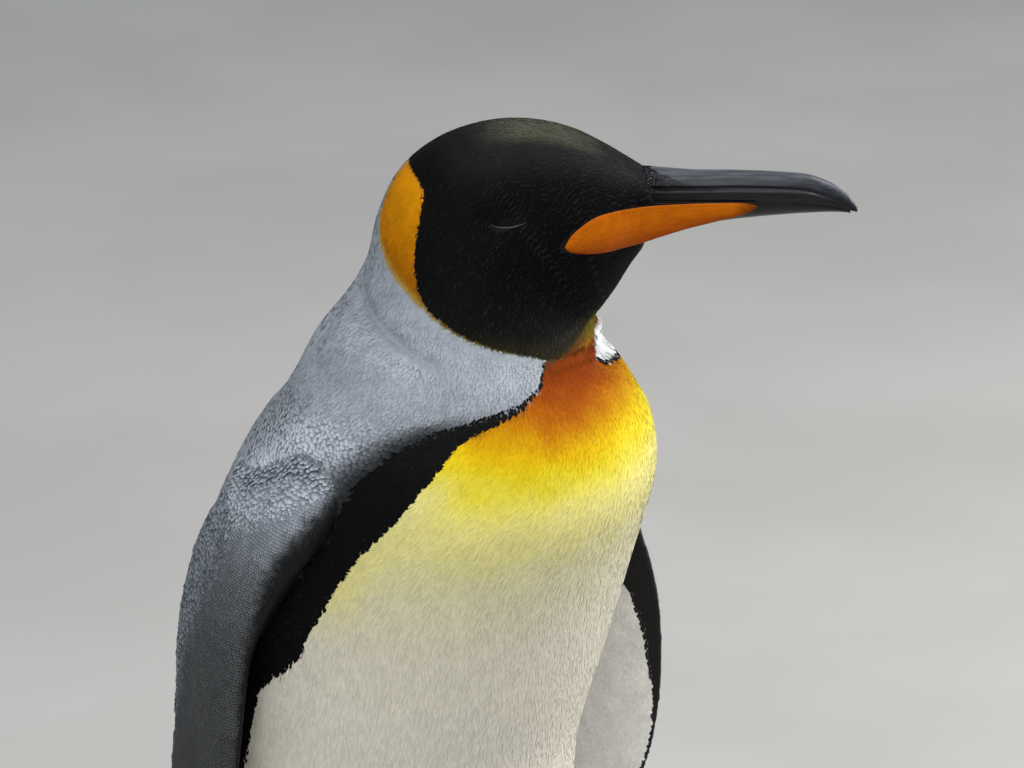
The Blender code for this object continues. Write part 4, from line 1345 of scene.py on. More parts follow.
class Effects:
    """The node groups that more than one finish uses."""

    def __init__(self) -> None:
        """Builds each group once."""
        self.barbs = self.build_barbs()
        self.mottle = self.build_mottle()
        self.wear = self.build_wear()

    def build_barbs(self) -> bpy.types.NodeTree:
        """Barbs that slant off a shaft, read on a feather's own map: across x and along y.

        The barb coordinate is y less a part of the distance from the shaft, repeated by the
        count. The height adds the barbs' wave, the shaft's ridge and the vane's round across.
        """
        nodes, given, gone = effect("barbs", (("Tint", (1, 1, 1, 1)), ("Count", 9.0), ("Depth", 0.3)),
                                    ("Colour", "Height"))
        place = nodes.add("SeparateXYZ", {0: nodes.add("UVMap", uv_map="vane").outputs[0]})
        off = nodes.maths("ABSOLUTE", nodes.maths("SUBTRACT", place.outputs[0], 0.5))
        slant = nodes.maths("SUBTRACT", place.outputs[1], nodes.maths("MULTIPLY", off, 0.8))
        turns = nodes.maths("MULTIPLY", nodes.maths("MULTIPLY", slant, given.outputs["Count"]), math.tau)
        wave = nodes.maths("MULTIPLY_ADD", nodes.maths("SINE", turns), 0.5, 0.5)
        shaft = nodes.ramp(off, 0.0, 0.09, 1.0, 0.0)
        dark = nodes.maths("MULTIPLY", nodes.maths("SUBTRACT", 1.0, wave), given.outputs["Depth"])
        keep = nodes.maths("SUBTRACT", 1.0, dark)
        lit = nodes.maths("MULTIPLY_ADD", shaft, 0.10, keep)
        colour = nodes.shaded(given.outputs["Tint"], lit)
        dome = nodes.maths("SUBTRACT", 1.0, nodes.maths("MULTIPLY", nodes.maths("MULTIPLY", off, off), 4.0))
        height = nodes.maths("MULTIPLY_ADD", wave, 0.25, nodes.maths("MULTIPLY_ADD", shaft, 0.35, dome))
        nodes.tree.links.new(colour, gone.inputs["Colour"])
        nodes.tree.links.new(height, gone.inputs["Height"])
        return nodes.tree

    def build_mottle(self) -> bpy.types.NodeTree:
        """Two sizes of soft noise on the object's own coordinates, centred on one."""
        nodes, given, gone = effect("mottle", (("Size", 120.0), ("Amount", 0.15)), ("Value", "Grain"))
        where = nodes.add("TexCoord").outputs["Object"]
        broad = nodes.add("TexNoise", {"Vector": where, "Scale": given.outputs["Size"], "Detail": 3.0})
        close = nodes.add("TexNoise", {"Vector": where, "Detail": 2.0,
                                       "Scale": nodes.maths("MULTIPLY", given.outputs["Size"], 7.0)})
        swing = nodes.maths("MULTIPLY", nodes.maths("SUBTRACT", broad.outputs[0], 0.5), 2.0)
        value = nodes.maths("MULTIPLY_ADD", swing, given.outputs["Amount"], 1.0)
        nodes.tree.links.new(value, gone.inputs["Value"])
        nodes.tree.links.new(close.outputs[0], gone.inputs["Grain"])
        return nodes.tree

    def build_wear(self) -> bpy.types.NodeTree:
        """Fine scratches drawn out along one direction, and patches of dust."""
        nodes, given, gone = effect("horn_wear", (("Stretch", 900.0), ("Along", 60.0), ("Turn", 0.0)),
                                    ("Scratch", "Dust"))
        where = nodes.add("TexCoord").outputs["Object"]
        turned = nodes.add("VectorRotate", {"Vector": where, "Angle": given.outputs["Turn"]},
                           rotation_type="Z_AXIS").outputs[0]
        part = nodes.add("SeparateXYZ", {0: turned})
        drawn = nodes.add("CombineXYZ", {
            0: nodes.maths("MULTIPLY", part.outputs[0], given.outputs["Stretch"]),
            1: nodes.maths("MULTIPLY", part.outputs[1], given.outputs["Along"]),
            2: nodes.maths("MULTIPLY", part.outputs[2], given.outputs["Stretch"])}).outputs[0]
        lines = nodes.add("TexNoise", {"Vector": drawn, "Scale": 1.0, "Detail": 4.0, "Roughness": 0.6})
        dust = nodes.add("TexNoise", {"Vector": where, "Scale": 260.0, "Detail": 5.0, "Roughness": 0.7})
        nodes.tree.links.new(lines.outputs[0], gone.inputs["Scratch"])
        nodes.tree.links.new(nodes.ramp(dust.outputs[0], 0.45, 0.75), gone.inputs["Dust"])
        return nodes.tree


@dataclass(frozen=True)
class Plumage:
    """Feathers: each vertex's own tint, softly mottled and, but on skin, crossed by barbs."""

    name: str
    roughness: float = 0.62
    barb_count: float = 9.0
    barb_depth: float = 0.25
    bump: float = 0.35
    bump_reach: float = 0.0004
    specular: float = 0.30
    on_skin: bool = False
    mottle: float = 0.22

    def build(self, effects: Effects) -> bpy.types.Material:
        """The material."""
        made, nodes = new_material(self.name)
        mottle = nodes.group(effects.mottle, Size=90.0, Amount=self.mottle)
        colour = nodes.shaded(nodes.tint(), mottle.outputs["Value"])
        if self.on_skin:
            height = mottle.outputs["Grain"]
        else:
            barbs = nodes.group(effects.barbs, Tint=colour, Count=self.barb_count, Depth=self.barb_depth)
            colour, height = barbs.outputs["Colour"], barbs.outputs["Height"]
        rough = nodes.maths("MULTIPLY_ADD", mottle.outputs["Grain"], 0.22, self.roughness - 0.11)
        bump = nodes.add("Bump", {"Strength": self.bump, "Distance": self.bump_reach, "Height": height})
        nodes.principled({"Base Color": colour, "Roughness": rough, "Normal": bump.outputs[0],
                          "Specular IOR Level": self.specular})
        return made


@dataclass(frozen=True)
class Horn:
    """Bill, plate and claw horn: streaked along its growth, scratched and a little dusty, and
    multiplied by each vertex's tint."""

    name: str
    colour: tuple
    second: tuple
    dust: tuple
    roughness: float = 0.34
    coat: float = 0.25
    dusted: float = 0.18
    bump: float = 0.12
    specular: float = 0.5

    def build(self, effects: Effects) -> bpy.types.Material:
        """The material."""
        made, nodes = new_material(self.name)
        wear = nodes.group(effects.wear, Turn=-HEAD_TURN)
        mottle = nodes.group(effects.mottle, Size=160.0, Amount=0.20)
        streak = nodes.ramp(wear.outputs["Scratch"], 0.35, 0.68)
        colour = nodes.mix(streak, (*self.colour, 1), (*self.second, 1))
        colour = nodes.shaded(colour, mottle.outputs["Value"])
        colour = nodes.mix(1.0, colour, nodes.tint(), "MULTIPLY")
        dust = nodes.maths("MULTIPLY", wear.outputs["Dust"], self.dusted)
        colour = nodes.mix(dust, colour, (*self.dust, 1))
        rough = nodes.maths("MULTIPLY_ADD", streak, 0.14,
                            nodes.maths("MULTIPLY_ADD", dust, 0.5, self.roughness - 0.05))
        bump = nodes.add("Bump", {"Strength": self.bump, "Distance": 0.0004,
                                  "Height": wear.outputs["Scratch"]})
        nodes.principled({
            "Base Color": colour, "Roughness": rough, "Normal": bump.outputs[0],
            "Coat Weight": self.coat, "Coat Roughness": 0.22, "Specular IOR Level": self.specular})
        return made


@dataclass(frozen=True)
class Hide:
    """Bare skin of the feet: small scutes, dark hollows and worn paler tops."""

    name: str
    colour: tuple = (0.020, 0.019, 0.020)
    top: tuple = (0.075, 0.068, 0.064)
    scute: float = 420.0
    bump: float = 0.55

    def build(self, effects: Effects) -> bpy.types.Material:
        """The material."""
        made, nodes = new_material(self.name)
        where = nodes.add("TexCoord").outputs["Object"]
        cells = nodes.add("TexVoronoi", {"Vector": where, "Scale": self.scute}, feature="DISTANCE_TO_EDGE")
        plate = nodes.ramp(cells.outputs["Distance"], 0.0, 0.22)
        mottle = nodes.group(effects.mottle, Size=140.0, Amount=0.5)
        worn = nodes.maths("MULTIPLY", plate, nodes.ramp(mottle.outputs["Grain"], 0.40, 0.72))
        colour = nodes.mix(worn, (*self.colour, 1), (*self.top, 1))
        colour = nodes.shaded(colour, mottle.outputs["Value"])
        rough = nodes.maths("MULTIPLY_ADD", mottle.outputs["Grain"], 0.25, 0.42)
        height = nodes.maths("MULTIPLY_ADD", mottle.outputs["Grain"], 0.25, plate)
        bump = nodes.add("Bump", {"Strength": self.bump, "Distance": 0.0006, "Height": height})
        nodes.principled({"Base Color": colour, "Roughness": rough, "Normal": bump.outputs[0],
                          "Specular IOR Level": 0.4})
        return made


@dataclass(frozen=True)
class Iris:
    """The eye under the closed lids: dark brown mottled with near black, under a wet coat."""

    name: str = "eye"

    def build(self, effects: Effects) -> bpy.types.Material:
        """The material."""
        made, nodes = new_material(self.name)
        mottle = nodes.group(effects.mottle, Size=500.0, Amount=0.4)
        colour = nodes.mix(nodes.ramp(mottle.outputs["Grain"], 0.35, 0.65), (0.050, 0.016, 0.006, 1),
                           (0.012, 0.006, 0.004, 1))
        rough = nodes.maths("MULTIPLY_ADD", mottle.outputs["Value"], 0.04, 0.04)
        nodes.principled({"Base Color": colour, "Roughness": rough, "Coat Weight": 1.0,
                          "Coat Roughness": 0.03})
        return made


class Finishes:
    """Every material: the record's own slots by name, the skin under the coat and the lids."""

    def __init__(self) -> None:
        """Builds the effects and the materials."""
        effects = Effects()
        recipes = (
            Plumage("white_plumage", 0.80, 8.0, 0.06, 0.22, 0.0002, 0.06, mottle=0.07),
            Plumage("silver_plumage", 0.60, 10.0, 0.18, 0.35, 0.0004, 0.22),
            Plumage("black_plumage", 0.55, 6.0, 0.20, 0.30, 0.0002, 0.035),
            Plumage("flipper_plumage", 0.55, 5.0, 0.15, 0.35, 0.0003, 0.22),
            Plumage("skin", 0.75, 0.0, 0.0, 0.25, 0.0005, 0.20, True),
            Horn("bill_horn", (0.004, 0.0043, 0.0055), (0.010, 0.011, 0.014), (0.06, 0.06, 0.06), 0.33,
                 0.12, 0.05, 0.05, 0.26),
            Horn("plate_horn", (0.42, 0.098, 0.0005), (0.35, 0.074, 0.0005), (0.50, 0.16, 0.005), 0.42,
                 0.0, 0.04, 0.05, 0.07),
            Horn("claw_horn", (0.018, 0.017, 0.017), (0.050, 0.046, 0.042), (0.22, 0.20, 0.18), 0.42,
                 0.10, 0.35, 0.25),
            Hide("foot_skin"),
            Plumage("lid_skin", 0.50, 0.0, 0.0, 0.25, 0.0002, 0.12, True, 0.12),
            Iris())
        self.made = {recipe.name: recipe.build(effects) for recipe in recipes}

    def dress(self, piece: bpy.types.Object, name: str, slot: str | None = None) -> None:
        """Gives a piece its material and its body."""
        piece.data.materials.clear()
        piece.data.materials.append(self.made[name])
        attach(piece, BODY)
        slot or name

    def dress_all(self, pieces: list[bpy.types.Object], name: str) -> list[bpy.types.Object]:
        """Dresses several pieces alike, and gives them back."""
        for piece in pieces:
            self.dress(piece, name)
        return pieces


# ------------------------------------------------------------------ sub-assemblies
@dataclass
class Skin:
    """The one skin under the coat, from the bill's root to the toes."""

    body: BodyForm
    flippers: list[FlipperForm]
    tail: TailForm
    legs: list[LegForm]
    feet: list[FootForm]
    voxel: float = 0.0016
    most: int = 165000  # triangles
    hide_top: float = 0.034  # height under which the skin is the feet's bare hide
    replaced: tuple = ("head", "neck", "trunk", "tail", "flipper_left", "flipper_right", "leg_left",
                       "leg_right", "foot_left", "foot_right")

    def shell(self, form: object, end: float, rows: int, columns: int) -> tuple[Array, list[Array]]:
        """A closed shell round one form."""
        u = np.linspace(0, end, rows)
        v = np.linspace(-math.pi, math.pi, columns, endpoint=False)
        u, v = np.meshgrid(u, v, indexing="ij")
        return closed_tube(form.surface(u, v))

    def build(self) -> bpy.types.Object:
        """The skin: every form's shell joined into one closed mesh, its joins rounded off."""
        parts = [self.shell(self.body, self.body.rings, 260, 200), self.shell(self.tail, 1.0, 50, 60)]
        parts += [self.shell(form, 1.0, 150, 80) for form in self.flippers]
        parts += [self.shell(form, 1.0, 40, 80) for form in self.legs]
        for foot in self.feet:
            parts += foot.shells()
        made = outward(new_object("skin", *joined(parts)))
        remeshed(made, self.voxel, 4)
        spare = made.modifiers.new("spare", "DECIMATE")
        spare.ratio = min(1.0, self.most / (2.0 * len(made.data.polygons)))
        settled(made).data.shade_smooth()
        return made

    def dress(self, skin: bpy.types.Object, finishes: Finishes, markings: Markings,
              coats: list[FlipperCoat]) -> None:
        """Paints the plumage's markings on the skin and gives the feet their own hide."""
        at = coordinates(skin.data)
        ring, angle = self.body.locate(at)
        root, tip = markings.colours(ring, angle, at)
        tint = (root + tip) * 0.5
        gap = np.linalg.norm(at - self.body.surface(ring, angle), axis=1)
        for coat in coats:
            share, angle, off = coat.form.locate(at)
            root, tip = coat.colours(share, angle, at)
            on = (off < gap) & (share > 0.02)
            tint[on] = (root[on] + tip[on]) * 0.5
        finishes.dress(skin, "skin", "white_plumage")
        skin.data.materials.append(finishes.made["foot_skin"])
        faces = skin.data.polygons
        centre = np.empty(len(faces) * 3, np.float32)
        faces.foreach_get("center", centre)
        low = centre.reshape(-1, 3)[:, 2] < self.hide_top
        faces.foreach_set("material_index", low.astype(np.int32))
        paint(skin, tint)
        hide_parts(*self.replaced)


@dataclass
class BodyCoat:
    """The feathers of trunk, neck and head."""

    chart: Chart
    markings: Markings
    bare: Callable[[Array], Array]  # whether places carry no feathers
    back_rows: tuple = ((0, 0.0034), (7, 0.0030), (9, 0.0025), (11, 0.0023), (12, 0.0020),
                        (13, 0.0018))
    back_across: tuple = ((0, 0.0034), (7, 0.0032), (9, 0.0030), (11, 0.0027), (12, 0.0021),
                          (13, 0.0018))
    front_rows: tuple = ((0, 0.0034), (6, 0.0030), (8, 0.0024), (12, 0.0021), (12.5, 0.0018),
                         (13.5, 0.0014), (19, 0.0012))
    front_across: tuple = ((0, 0.0020), (6, 0.0018), (8, 0.0014), (12, 0.0013), (12.5, 0.0011),
                           (13.5, 0.0010), (19, 0.0009))
    nape_rows: tuple = ((10, 0.0022), (12.5, 0.0019), (15.5, 0.0015), (18, 0.0014))
    nape_across: tuple = ((10, 0.0015), (12.5, 0.0013), (15.5, 0.0011), (18, 0.0010))
    nape_edge: tuple = (11.8, 12.5)  # rings over which the back's feathers turn to the nape's
    head_spacing: float = 0.00108

    def growth(self, coat: Coat, u: Array, v: Array, zones: tuple, size: Array,
               swirl: float) -> Growth:
        """Feathers of the zones asked for, with their colours and headings.

        A feather belongs to the zone that its tip lies in, and takes its colours from there. One
        that crosses an edge of the upper zones is short. The heading swings with a soft noise over
        the skin and a little at random.
        """
        points = self.chart.place(u, v)
        shown = self.shown(coat, u, v, size)
        crossing = self.markings.zones(u, v) != self.markings.zones(shown, v)
        size = np.where(crossing & (u > 11.0), np.where(u > 13.6, 0.62, 0.80) * size, size)
        shown = self.shown(coat, u, v, size)
        good = np.isin(self.markings.zones(shown, v), [zone.value for zone in zones])
        good &= ~self.bare(points)
        root, tip = self.markings.colours(shown, v, self.chart.place(shown, v))
        lean = np.radians(swirl) * lattice_noise(points, 0.022, 7) + coat.rng.normal(0, 0.07, len(u))
        return Growth(u, v, root, tip, size, lean).kept(good)

    def shown(self, coat: Coat, u: Array, v: Array, size: Array) -> Array:
        """The u where most of a feather shows."""
        return np.clip(self.chart.walk(u, v, -0.86 * size * coat.vane.length), 0, self.chart.end)

    def build(self, skin: bpy.types.Object, finishes: Finishes) -> list[bpy.types.Object]:
        """The coats of the body: back, nape, black band and front, and then the head."""
        pieces = []
        kinds = (  # name, vane, seed, zone, rows, across, full spacing, anchor, jitter, swirl, reach, finish
            ("back", CONTOUR, 11, Zone.BACK, self.back_rows, self.back_across, 0.0028, 12.0, 0.26, 9,
             0.005, "silver_plumage"),
            ("nape", NAPE, 14, Zone.BACK, self.nape_rows, self.nape_across, 0.0013, 12.5, 0.25, 9,
             0.004, "silver_plumage"),
            ("band", NAPE, 15, Zone.BAND, self.nape_rows, self.nape_across, 0.0013, 12.5, 0.28, 14,
             0.004, "black_plumage"),
            ("front", PLUME, 12, Zone.FRONT, self.front_rows, self.front_across, 0.0015, 12.0, 0.30, 10,
             0.007, "white_plumage"))
        for name, vane, seed, zone, rows, across, full, anchor, jitter, swirl, reach, finish in kinds:
            coat = Coat(f"coat_{name}", self.chart, vane, -1, seed)
            u, v = self.chart.level_rows(rows, across, anchor, coat.rng, jitter)
            if zone is Zone.BACK:
                edge = coat.rng.uniform(*self.nape_edge, len(u))
                part = u > edge - 0.1 if vane is NAPE else u < edge
                u, v = u[part], v[part]
            grown = self.growth(coat, u, v, (zone,), line(across, u) / full, swirl)
            pieces += finishes.dress_all(coat.grow(grown, skin, reach), finish)
        hood = Coat("coat_head", self.chart, PLUSH, -1, 13)
        u, v = self.chart.even_rows(self.head_spacing, 13.0, self.chart.end - 0.05, hood.rng, 0.22)
        grown = self.growth(hood, u, v, (Zone.HOOD, Zone.EAR, Zone.GOLD), 0 * u + 1.0, 10)
        return pieces + finishes.dress_all(hood.grow(grown, skin, 0.004), "black_plumage")


@dataclass
class FlipperCoat:
    """The scale-like feathers of one flipper, and the back's feathers that lap over its root."""

    form: FlipperForm
    chart: Chart
    side: str
    rows: tuple = ((0, 0.0016), (0.5, 0.0015), (1, 0.0014))
    across: tuple = ((0, 0.0015), (0.5, 0.0014), (1, 0.0013))
    lap_rows: tuple = ((0, 0.0024), (1, 0.0024))
    lap_across: tuple = ((0, 0.0023), (1, 0.0023))
    border: tuple = (  # share, angle where the dark edge of the inner face ends
        (0.20, -110), (0.35, -75), (0.42, -60), (0.47, -50), (0.545, -42), (0.615, -31), (0.69, -20),
        (0.76, -22), (0.90, -30), (0.97, -60), (1.0, -180))
    lapped: tuple = (  # share, angle behind which the outer face is coloured as the back
        (0.0, 170), (0.09, 160), (0.12, 105), (0.175, 82), (0.26, 98), (0.33, 115), (0.38, 130),
        (0.45, 150), (0.60, 182))
    covered: tuple = (  # share, angle behind which the outer face carries the back's own feathers
        (0.0, -10), (0.04, 4), (0.07, 36), (0.10, 66), (0.125, 88), (0.175, 82), (0.26, 98),
        (0.33, 115), (0.38, 130), (0.45, 150), (0.60, 182))
    shaded: tuple = (  # share, angle ahead of which the outer face is painted black as shade along its front edge
        (0.0, 0), (0.04, 14), (0.08, 28), (0.12, 34), (0.16, 30), (0.20, 24), (0.28, 14), (0.40, 8),
        (1.0, 4))

    def colours(self, share: Array, angle: Array, points: Array) -> tuple[Array, Array]:
        """Slate outside, silver at the shoulder with a painted highlight, and black along the front edge as
        painted shade; white inside with a dark border.
        """
        degrees = signed_degrees(angle)
        fine = lattice_noise(points, 0.0022, 31)
        broad = lattice_noise(points, 0.016, 32)
        # outer: slate that darkens down the flipper; the bright stops by the shoulder are partly its own
        # silver, partly a painted highlight
        outer = colour_stops((
            (0.0, 0.32, 0.345, 0.39), (0.09, 0.38, 0.41, 0.46), (0.13, 0.29, 0.312, 0.345),
            (0.19, 0.175, 0.186, 0.198), (0.30, 0.105, 0.109, 0.112), (0.50, 0.074, 0.076, 0.077),
            (0.75, 0.058, 0.060, 0.061), (1.0, 0.046, 0.048, 0.049)), share)
        outer = outer * (1 + 0.20 * fine + 0.14 * broad)[:, None]
        # painted shade: ahead of the shaded line the outer face goes near black
        ahead = smooth(13, -13, degrees - line(self.shaded, share) + 5 * fine)
        outer = blend(outer, (0.0045, 0.0046, 0.0048), ahead)
        behind = smooth(-16, 12, degrees - line(self.lapped, share) + 6 * broad)
        lap = np.array([0.215, 0.236, 0.270]) * (1 + 0.40 * fine + 0.2 * broad)[:, None]
        inner = np.array([0.88, 0.87, 0.84]) * (1 + 0.03 * fine)[:, None]
        border = (degrees > line(self.border, share) + 4 * broad) | (degrees < -168)
        black = (0.006, 0.006, 0.0065)
        inner = np.where(border[:, None], black, inner)
        outside = (degrees > -6)[:, None]
        # tip and root factors: by the shoulder the roots stay light, part of the painted highlight there
        fringe = line(((0.08, 1.10), (0.20, 1.75)), share)[:, None]
        depth = line(((0.06, 0.40), (0.13, 0.30), (0.20, 0.16)), share)[:, None]
        tip = np.where(outside, blend(outer * fringe, lap, behind), inner)
        root = np.where(outside, blend(outer * depth, lap * 0.20, behind), inner * 0.95)
        return root, tip

    def build(self, skin: bpy.types.Object, finishes: Finishes) -> list[bpy.types.Object]:
        """The flipper's coat, and the feathers over its root."""
        return (self.layer("flipper", SCALE, self.rows, self.across, False, skin, finishes)
                + self.layer("scapular", CONTOUR, self.lap_rows, self.lap_across, True, skin, finishes))

    def layer(self, name: str, vane: Vane, rows: tuple, across: tuple, over: bool,
              skin: bpy.types.Object, finishes: Finishes) -> list[bpy.types.Object]:
        """One layer of feathers; one that lies over covers only the lapped part."""
        coat = Coat(f"coat_{name}_{self.side}", self.chart, vane, 1, 41 + self.form.side + 4 * over)
        u, v = self.chart.level_rows(rows, across, 0.3, coat.rng, 0.34 if over else 0.14)
        degrees = np.degrees(v)
        points = self.chart.place(u, v)
        root, tip = self.colours(u, v, points)
        lean = 0.16 * np.sin(np.abs(v)) * np.sign(v) + coat.rng.normal(0, 0.05, len(u))
        lean = lean + 0.10 * lattice_noise(points, 0.018, 33)
        behind = degrees - line(self.covered, u) + coat.rng.normal(0, 4, len(u))
        there = (behind > 0) & (degrees < 176) & (u < 0.6) if over else u < 0.997
        size = 0.50 + 0.34 * smooth(0, 30, behind) if over else 0 * u + 1.0
        grown = Growth(u, v, root, tip, size, lean).kept(there)
        return finishes.dress_all(coat.grow(grown, skin, 0.0035), "flipper_plumage")


@dataclass
class TailCoat:
    """The stump's small feathers and the stiff quills of the tail."""

    form: TailForm
    chart: Chart
    body: BodyForm
    markings: Markings
    quills: int = 17

    def build(self, skin: bpy.types.Object, finishes: Finishes) -> list[bpy.types.Object]:
        """The tail's coat and its quills."""
        coat = Coat("coat_tail", self.chart, CONTOUR, 1, 51)
        u, v = self.chart.level_rows(((0, 0.0030), (1, 0.0042)), ((0, 0.0030), (1, 0.0034)), 0.3,
                                     coat.rng, 0.25)
        points = self.chart.place(u, v)
        upper = smooth(-0.25, 0.05, np.sin(v))
        fine = (1 + 0.2 * lattice_noise(points, 0.004, 52))[:, None]
        dark = np.array([0.085, 0.095, 0.110]) * fine
        pale = np.array([0.62, 0.60, 0.55]) * fine
        tip = blend(pale, dark, upper)
        near = smooth(0.75, 0.35, u)
        body_root, body_tip = self.markings.colours(*self.body.locate(points), points)
        root = blend(tip * 0.2, body_root, near)
        tip = blend(tip, body_tip, near)
        size = 0.9 + 1.1 * smooth(0.2, 0.95, u) * coat.rng.uniform(0.8, 1.2, len(u))
        growth = Growth(u, v, root, tip, size, coat.rng.normal(0, 0.10, len(u)))
        pieces = coat.grow(growth.kept(u < 0.98), skin, 0.006) + [self.fan()]
        return finishes.dress_all(pieces, "black_plumage")

    def fan(self) -> bpy.types.Object:
        """The quills, each a long flat spindle.

        A quill runs down the tail's axis from a quarter of the way, spread across by its place in
        the fan times the tail's own width there. Its half width swells and then narrows to the
        tip, and the middle quills are longest and lie uppermost.
        """
        root, run, face = self.form.axis()
        parts = []
        s = np.linspace(0, 1, 26)[:, None]
        a = np.linspace(0, math.tau, 8, endpoint=False)[None, :]
        shades = []
        for n, spread in enumerate(np.linspace(-1, 1, self.quills)):
            end = 1.0 - 0.20 * abs(spread) ** 1.4 - 0.025 * (n % 2)
            share = 0.22 + (end - 0.22) * s
            width = profile(self.form.sections, share[:, 0])[:, 0][:, None]
            half = 0.0050 * np.sqrt(np.clip(np.sin(math.pi * (0.10 + 0.90 * s) ** 1.3), 0.01, 1))
            raise_by = 0.0012 + 0.0030 * (1 - abs(spread)) * (1 - 0.65 * s) + 0.0007 * (n % 2)
            x = spread * np.maximum(width - 0.006, 0.001) + half * np.cos(a)
            thick = 0.0009 * (1 - 0.7 * s) * np.sin(a) + 0.0007 * (1 - np.abs(np.cos(a))) * (1 - s)
            at = root + run * share[..., None] + face * (raise_by + thick)[..., None]
            at = at + np.array([1.0, 0, 0]) * x[..., None]
            at[..., 2] = np.maximum(at[..., 2], 0.0003)
            parts.append(closed_tube(ORIGIN + at))
            tone = (0.7 + 0.6 * (n * 0.618 % 1)) * (1 + 0.9 * (np.abs(np.cos(a)) < 0.3)) * (0.8 + 0.5 * s)
            shades += [tone.ravel(), np.ones(2)]
        made = outward(new_object("tail_quills", *joined(parts)))
        at = coordinates(made.data)
        shade = 0.020 * (1 + 0.4 * lattice_noise(at * np.array([1, 0.2, 0.2]), 0.0012, 53))
        shade = shade * np.concatenate(shades)
        paint(made, shade[:, None] * np.array([1.0, 1.05, 1.15]))
        flat = np.stack([(at[:, 0] - ORIGIN[0]) / 0.12 + 0.5, at[:, 2] / 0.16], -1)
        corner = np.empty(len(made.data.loops), np.int32)
        made.data.loops.foreach_get("vertex_index", corner)
        store_map(made.data, "vane", np.stack([flat[corner, 0] * 17 % 1.0, flat[corner, 1]], -1))
        return made


@dataclass
class LegCoat:
    """The short trousers over one leg."""

    form: LegForm
    chart: Chart
    side: str
    body: BodyForm
    markings: Markings

    def build(self, skin: bpy.types.Object, finishes: Finishes) -> list[bpy.types.Object]:
        """The leg's coat: the body's own markings run on over it, turning dark grey at the ankle."""
        coat = Coat(f"coat_leg_{self.side}", self.chart, PLUME, 1, 61 + self.form.side)
        u, v = self.chart.level_rows(((0, 0.0030), (1, 0.0024)), ((0, 0.0018), (1, 0.0015)), 0.5,
                                     coat.rng, 0.28)
        points = self.chart.place(u, v)
        root, tip = self.markings.colours(*self.body.locate(points), points)
        low = smooth(0.050, 0.032, points[:, 2] + 0.004 * lattice_noise(points, 0.006, 62))
        tip = blend(tip, (0.16, 0.15, 0.14), low * 0.85)
        root = blend(root, tip * 0.8, low)
        size = (1.25 - 0.45 * u) * (0.5 + 0.5 * smooth(0.0, 0.25, u)) + coat.rng.uniform(-0.1, 0.1, len(u))
        growth = Growth(u, v, root, tip, size, 0.2 * lattice_noise(points, 0.02, 63)
                        + coat.rng.normal(0, 0.08, len(u)))
        return finishes.dress_all(coat.grow(growth.kept(u < 0.995), skin, 0.007), "white_plumage")


